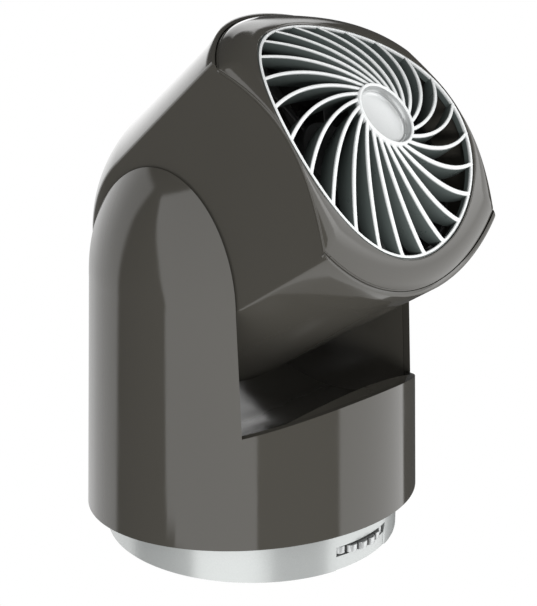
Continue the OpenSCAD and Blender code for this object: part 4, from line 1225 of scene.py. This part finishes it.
class FAN_OT_stage(bpy.types.Operator):
    """Makes the camera, the floor, the lamps and the cards that the gloss reflects"""

    bl_idname = "fan.stage"
    bl_label = "Stage"

    def execute(self, context):
        context.scene.view_settings.view_transform = "Standard"
        make_camera()
        make_world()
        make_floor()
        make_cards()
        stage = settings("stage")
        lamp("key", (-1.5, -0.9, 1.1), MIDDLE, 1.4, 1.4, stage.key)
        lamp("fill", (1.3, -1.2, 0.7), MIDDLE, 1.2, 1.2, stage.key)
        lamp("top", (0.2, 0.5, 1.8), MIDDLE, 1.6, 1.6, stage.key)
        lamp("front", (-0.75, -1.35, 0.12), MIDDLE, 0.9, 0.22, stage.front)
        return {"FINISHED"}


def soft_band(value, start, end, edge):
    """1 between start and end, falling to 0 over an edge outside them."""
    return np.clip((value - start) / edge + 0.5, 0, 1) * np.clip((end - value) / edge + 0.5, 0, 1)


def card_level(side, lift):
    """Brightness of the cards by direction: degrees to the right of the camera, and above level.

    A broad card stands behind the camera and to its left, one stands to the right, a dimmer
    one far left, and a small one high up behind the fan. Between them and overhead it is dark.
    """
    card, dark = 0.66, 0.03
    start = np.interp(lift, [-60, -26, -23, -10, 6, 16, 28, 60],
                      [-45, -45, -58, -59.5, -65.5, -71.5, -78.5, -98])
    end = np.interp(lift, [-60, -29, -26, 60], [15, 15, 3.5, 3.5])
    left = soft_band(side, start, end, 1) * card
    left = left * soft_band(lift, -60, 40 + (side + 58) * 0.45, 1.5)
    glow = soft_band(side, 86, 101, 4) * np.clip(lift, 0, 30) * 0.035
    low = np.clip((lift + 26) / 6, -1, 0) * 0.2
    right = soft_band(side, 59.5, 126, 3) * (card + glow + low) * soft_band(lift, -60, 62, 4)
    end = np.interp(lift, [-60, -13, 5, 16, 27, 60], [-103, -102.5, -98, -96, -91, -80])
    above = np.clip((lift + 10) / 20, 0, 1)
    turned_off = np.clip((-140 - side) / 25, 0, 1)
    brighter = 0.4 * above * np.clip((-110 - side) / 40, 0, 1)
    far = 0.44 + brighter - 0.2 * turned_off * (1 - above)
    top = np.interp(side, [-140, -130], [18, 30])
    far = far * soft_band(side, -180, end, 4) * soft_band(lift, -60, top, 2)
    around = np.mod(side, 360)
    high = np.interp(around, [156, 172, 180, 193, 199], [1.0, 0.8, 0.7, 0.45, 0.15])
    foot = 34.5 + (162.7 - around) * 0.81
    peak = np.interp(around, [150, 158, 170, 199], [38.5, 39.5, 41.5, 42])
    high = high * soft_band(around, 152, 199, 2) * soft_band(lift, foot, peak, 1.5)
    return np.maximum.reduce([left, right, far, high]) + dark


class FAN_PT_sidebar(bpy.types.Panel):
    """Lists the fan's operators and settings"""

    bl_label = "Table air circulator"
    bl_idname = "FAN_PT_sidebar"
    bl_space_type = "VIEW_3D"
    bl_region_type = "UI"
    bl_category = "Fan"

    def draw(self, context):
        for made in OPERATORS:
            self.layout.operator(made.bl_idname)
        for kind, group in GROUPS.items():
            box = self.layout.box()
            box.label(text=kind.title())
            for name in group.__annotations__:
                box.prop(settings(kind), name)


GROUPS = {
    "body": BodySizes, "head": HeadSizes, "grille": GrilleSizes, "base": BaseSizes,
    "colours": FanColours, "stage": StageSettings,
}
OPERATORS = [
    FAN_OT_stage, FAN_OT_finish, FAN_OT_shell, FAN_OT_head, FAN_OT_bezel, FAN_OT_grille,
    FAN_OT_rear, FAN_OT_impeller, FAN_OT_base,
]


def register():
    """Registers the settings, the operators and the panel."""
    for made in [*GROUPS.values(), *OPERATORS, FAN_PT_sidebar]:
        bpy.utils.register_class(made)
    for kind, group in GROUPS.items():
        setattr(bpy.types.Scene, "fan_" + kind, PointerProperty(type=group))


def unregister():
    """Takes them all out again."""
    for kind in GROUPS:
        delattr(bpy.types.Scene, "fan_" + kind)
    for made in reversed([*GROUPS.values(), *OPERATORS, FAN_PT_sidebar]):
        bpy.utils.unregister_class(made)


def main():
    """Makes everything in order."""
    register()
    for made in OPERATORS:
        group, name = made.bl_idname.split(".")
        getattr(getattr(bpy.ops, group), name)()


if __name__ == "__main__":
    main()
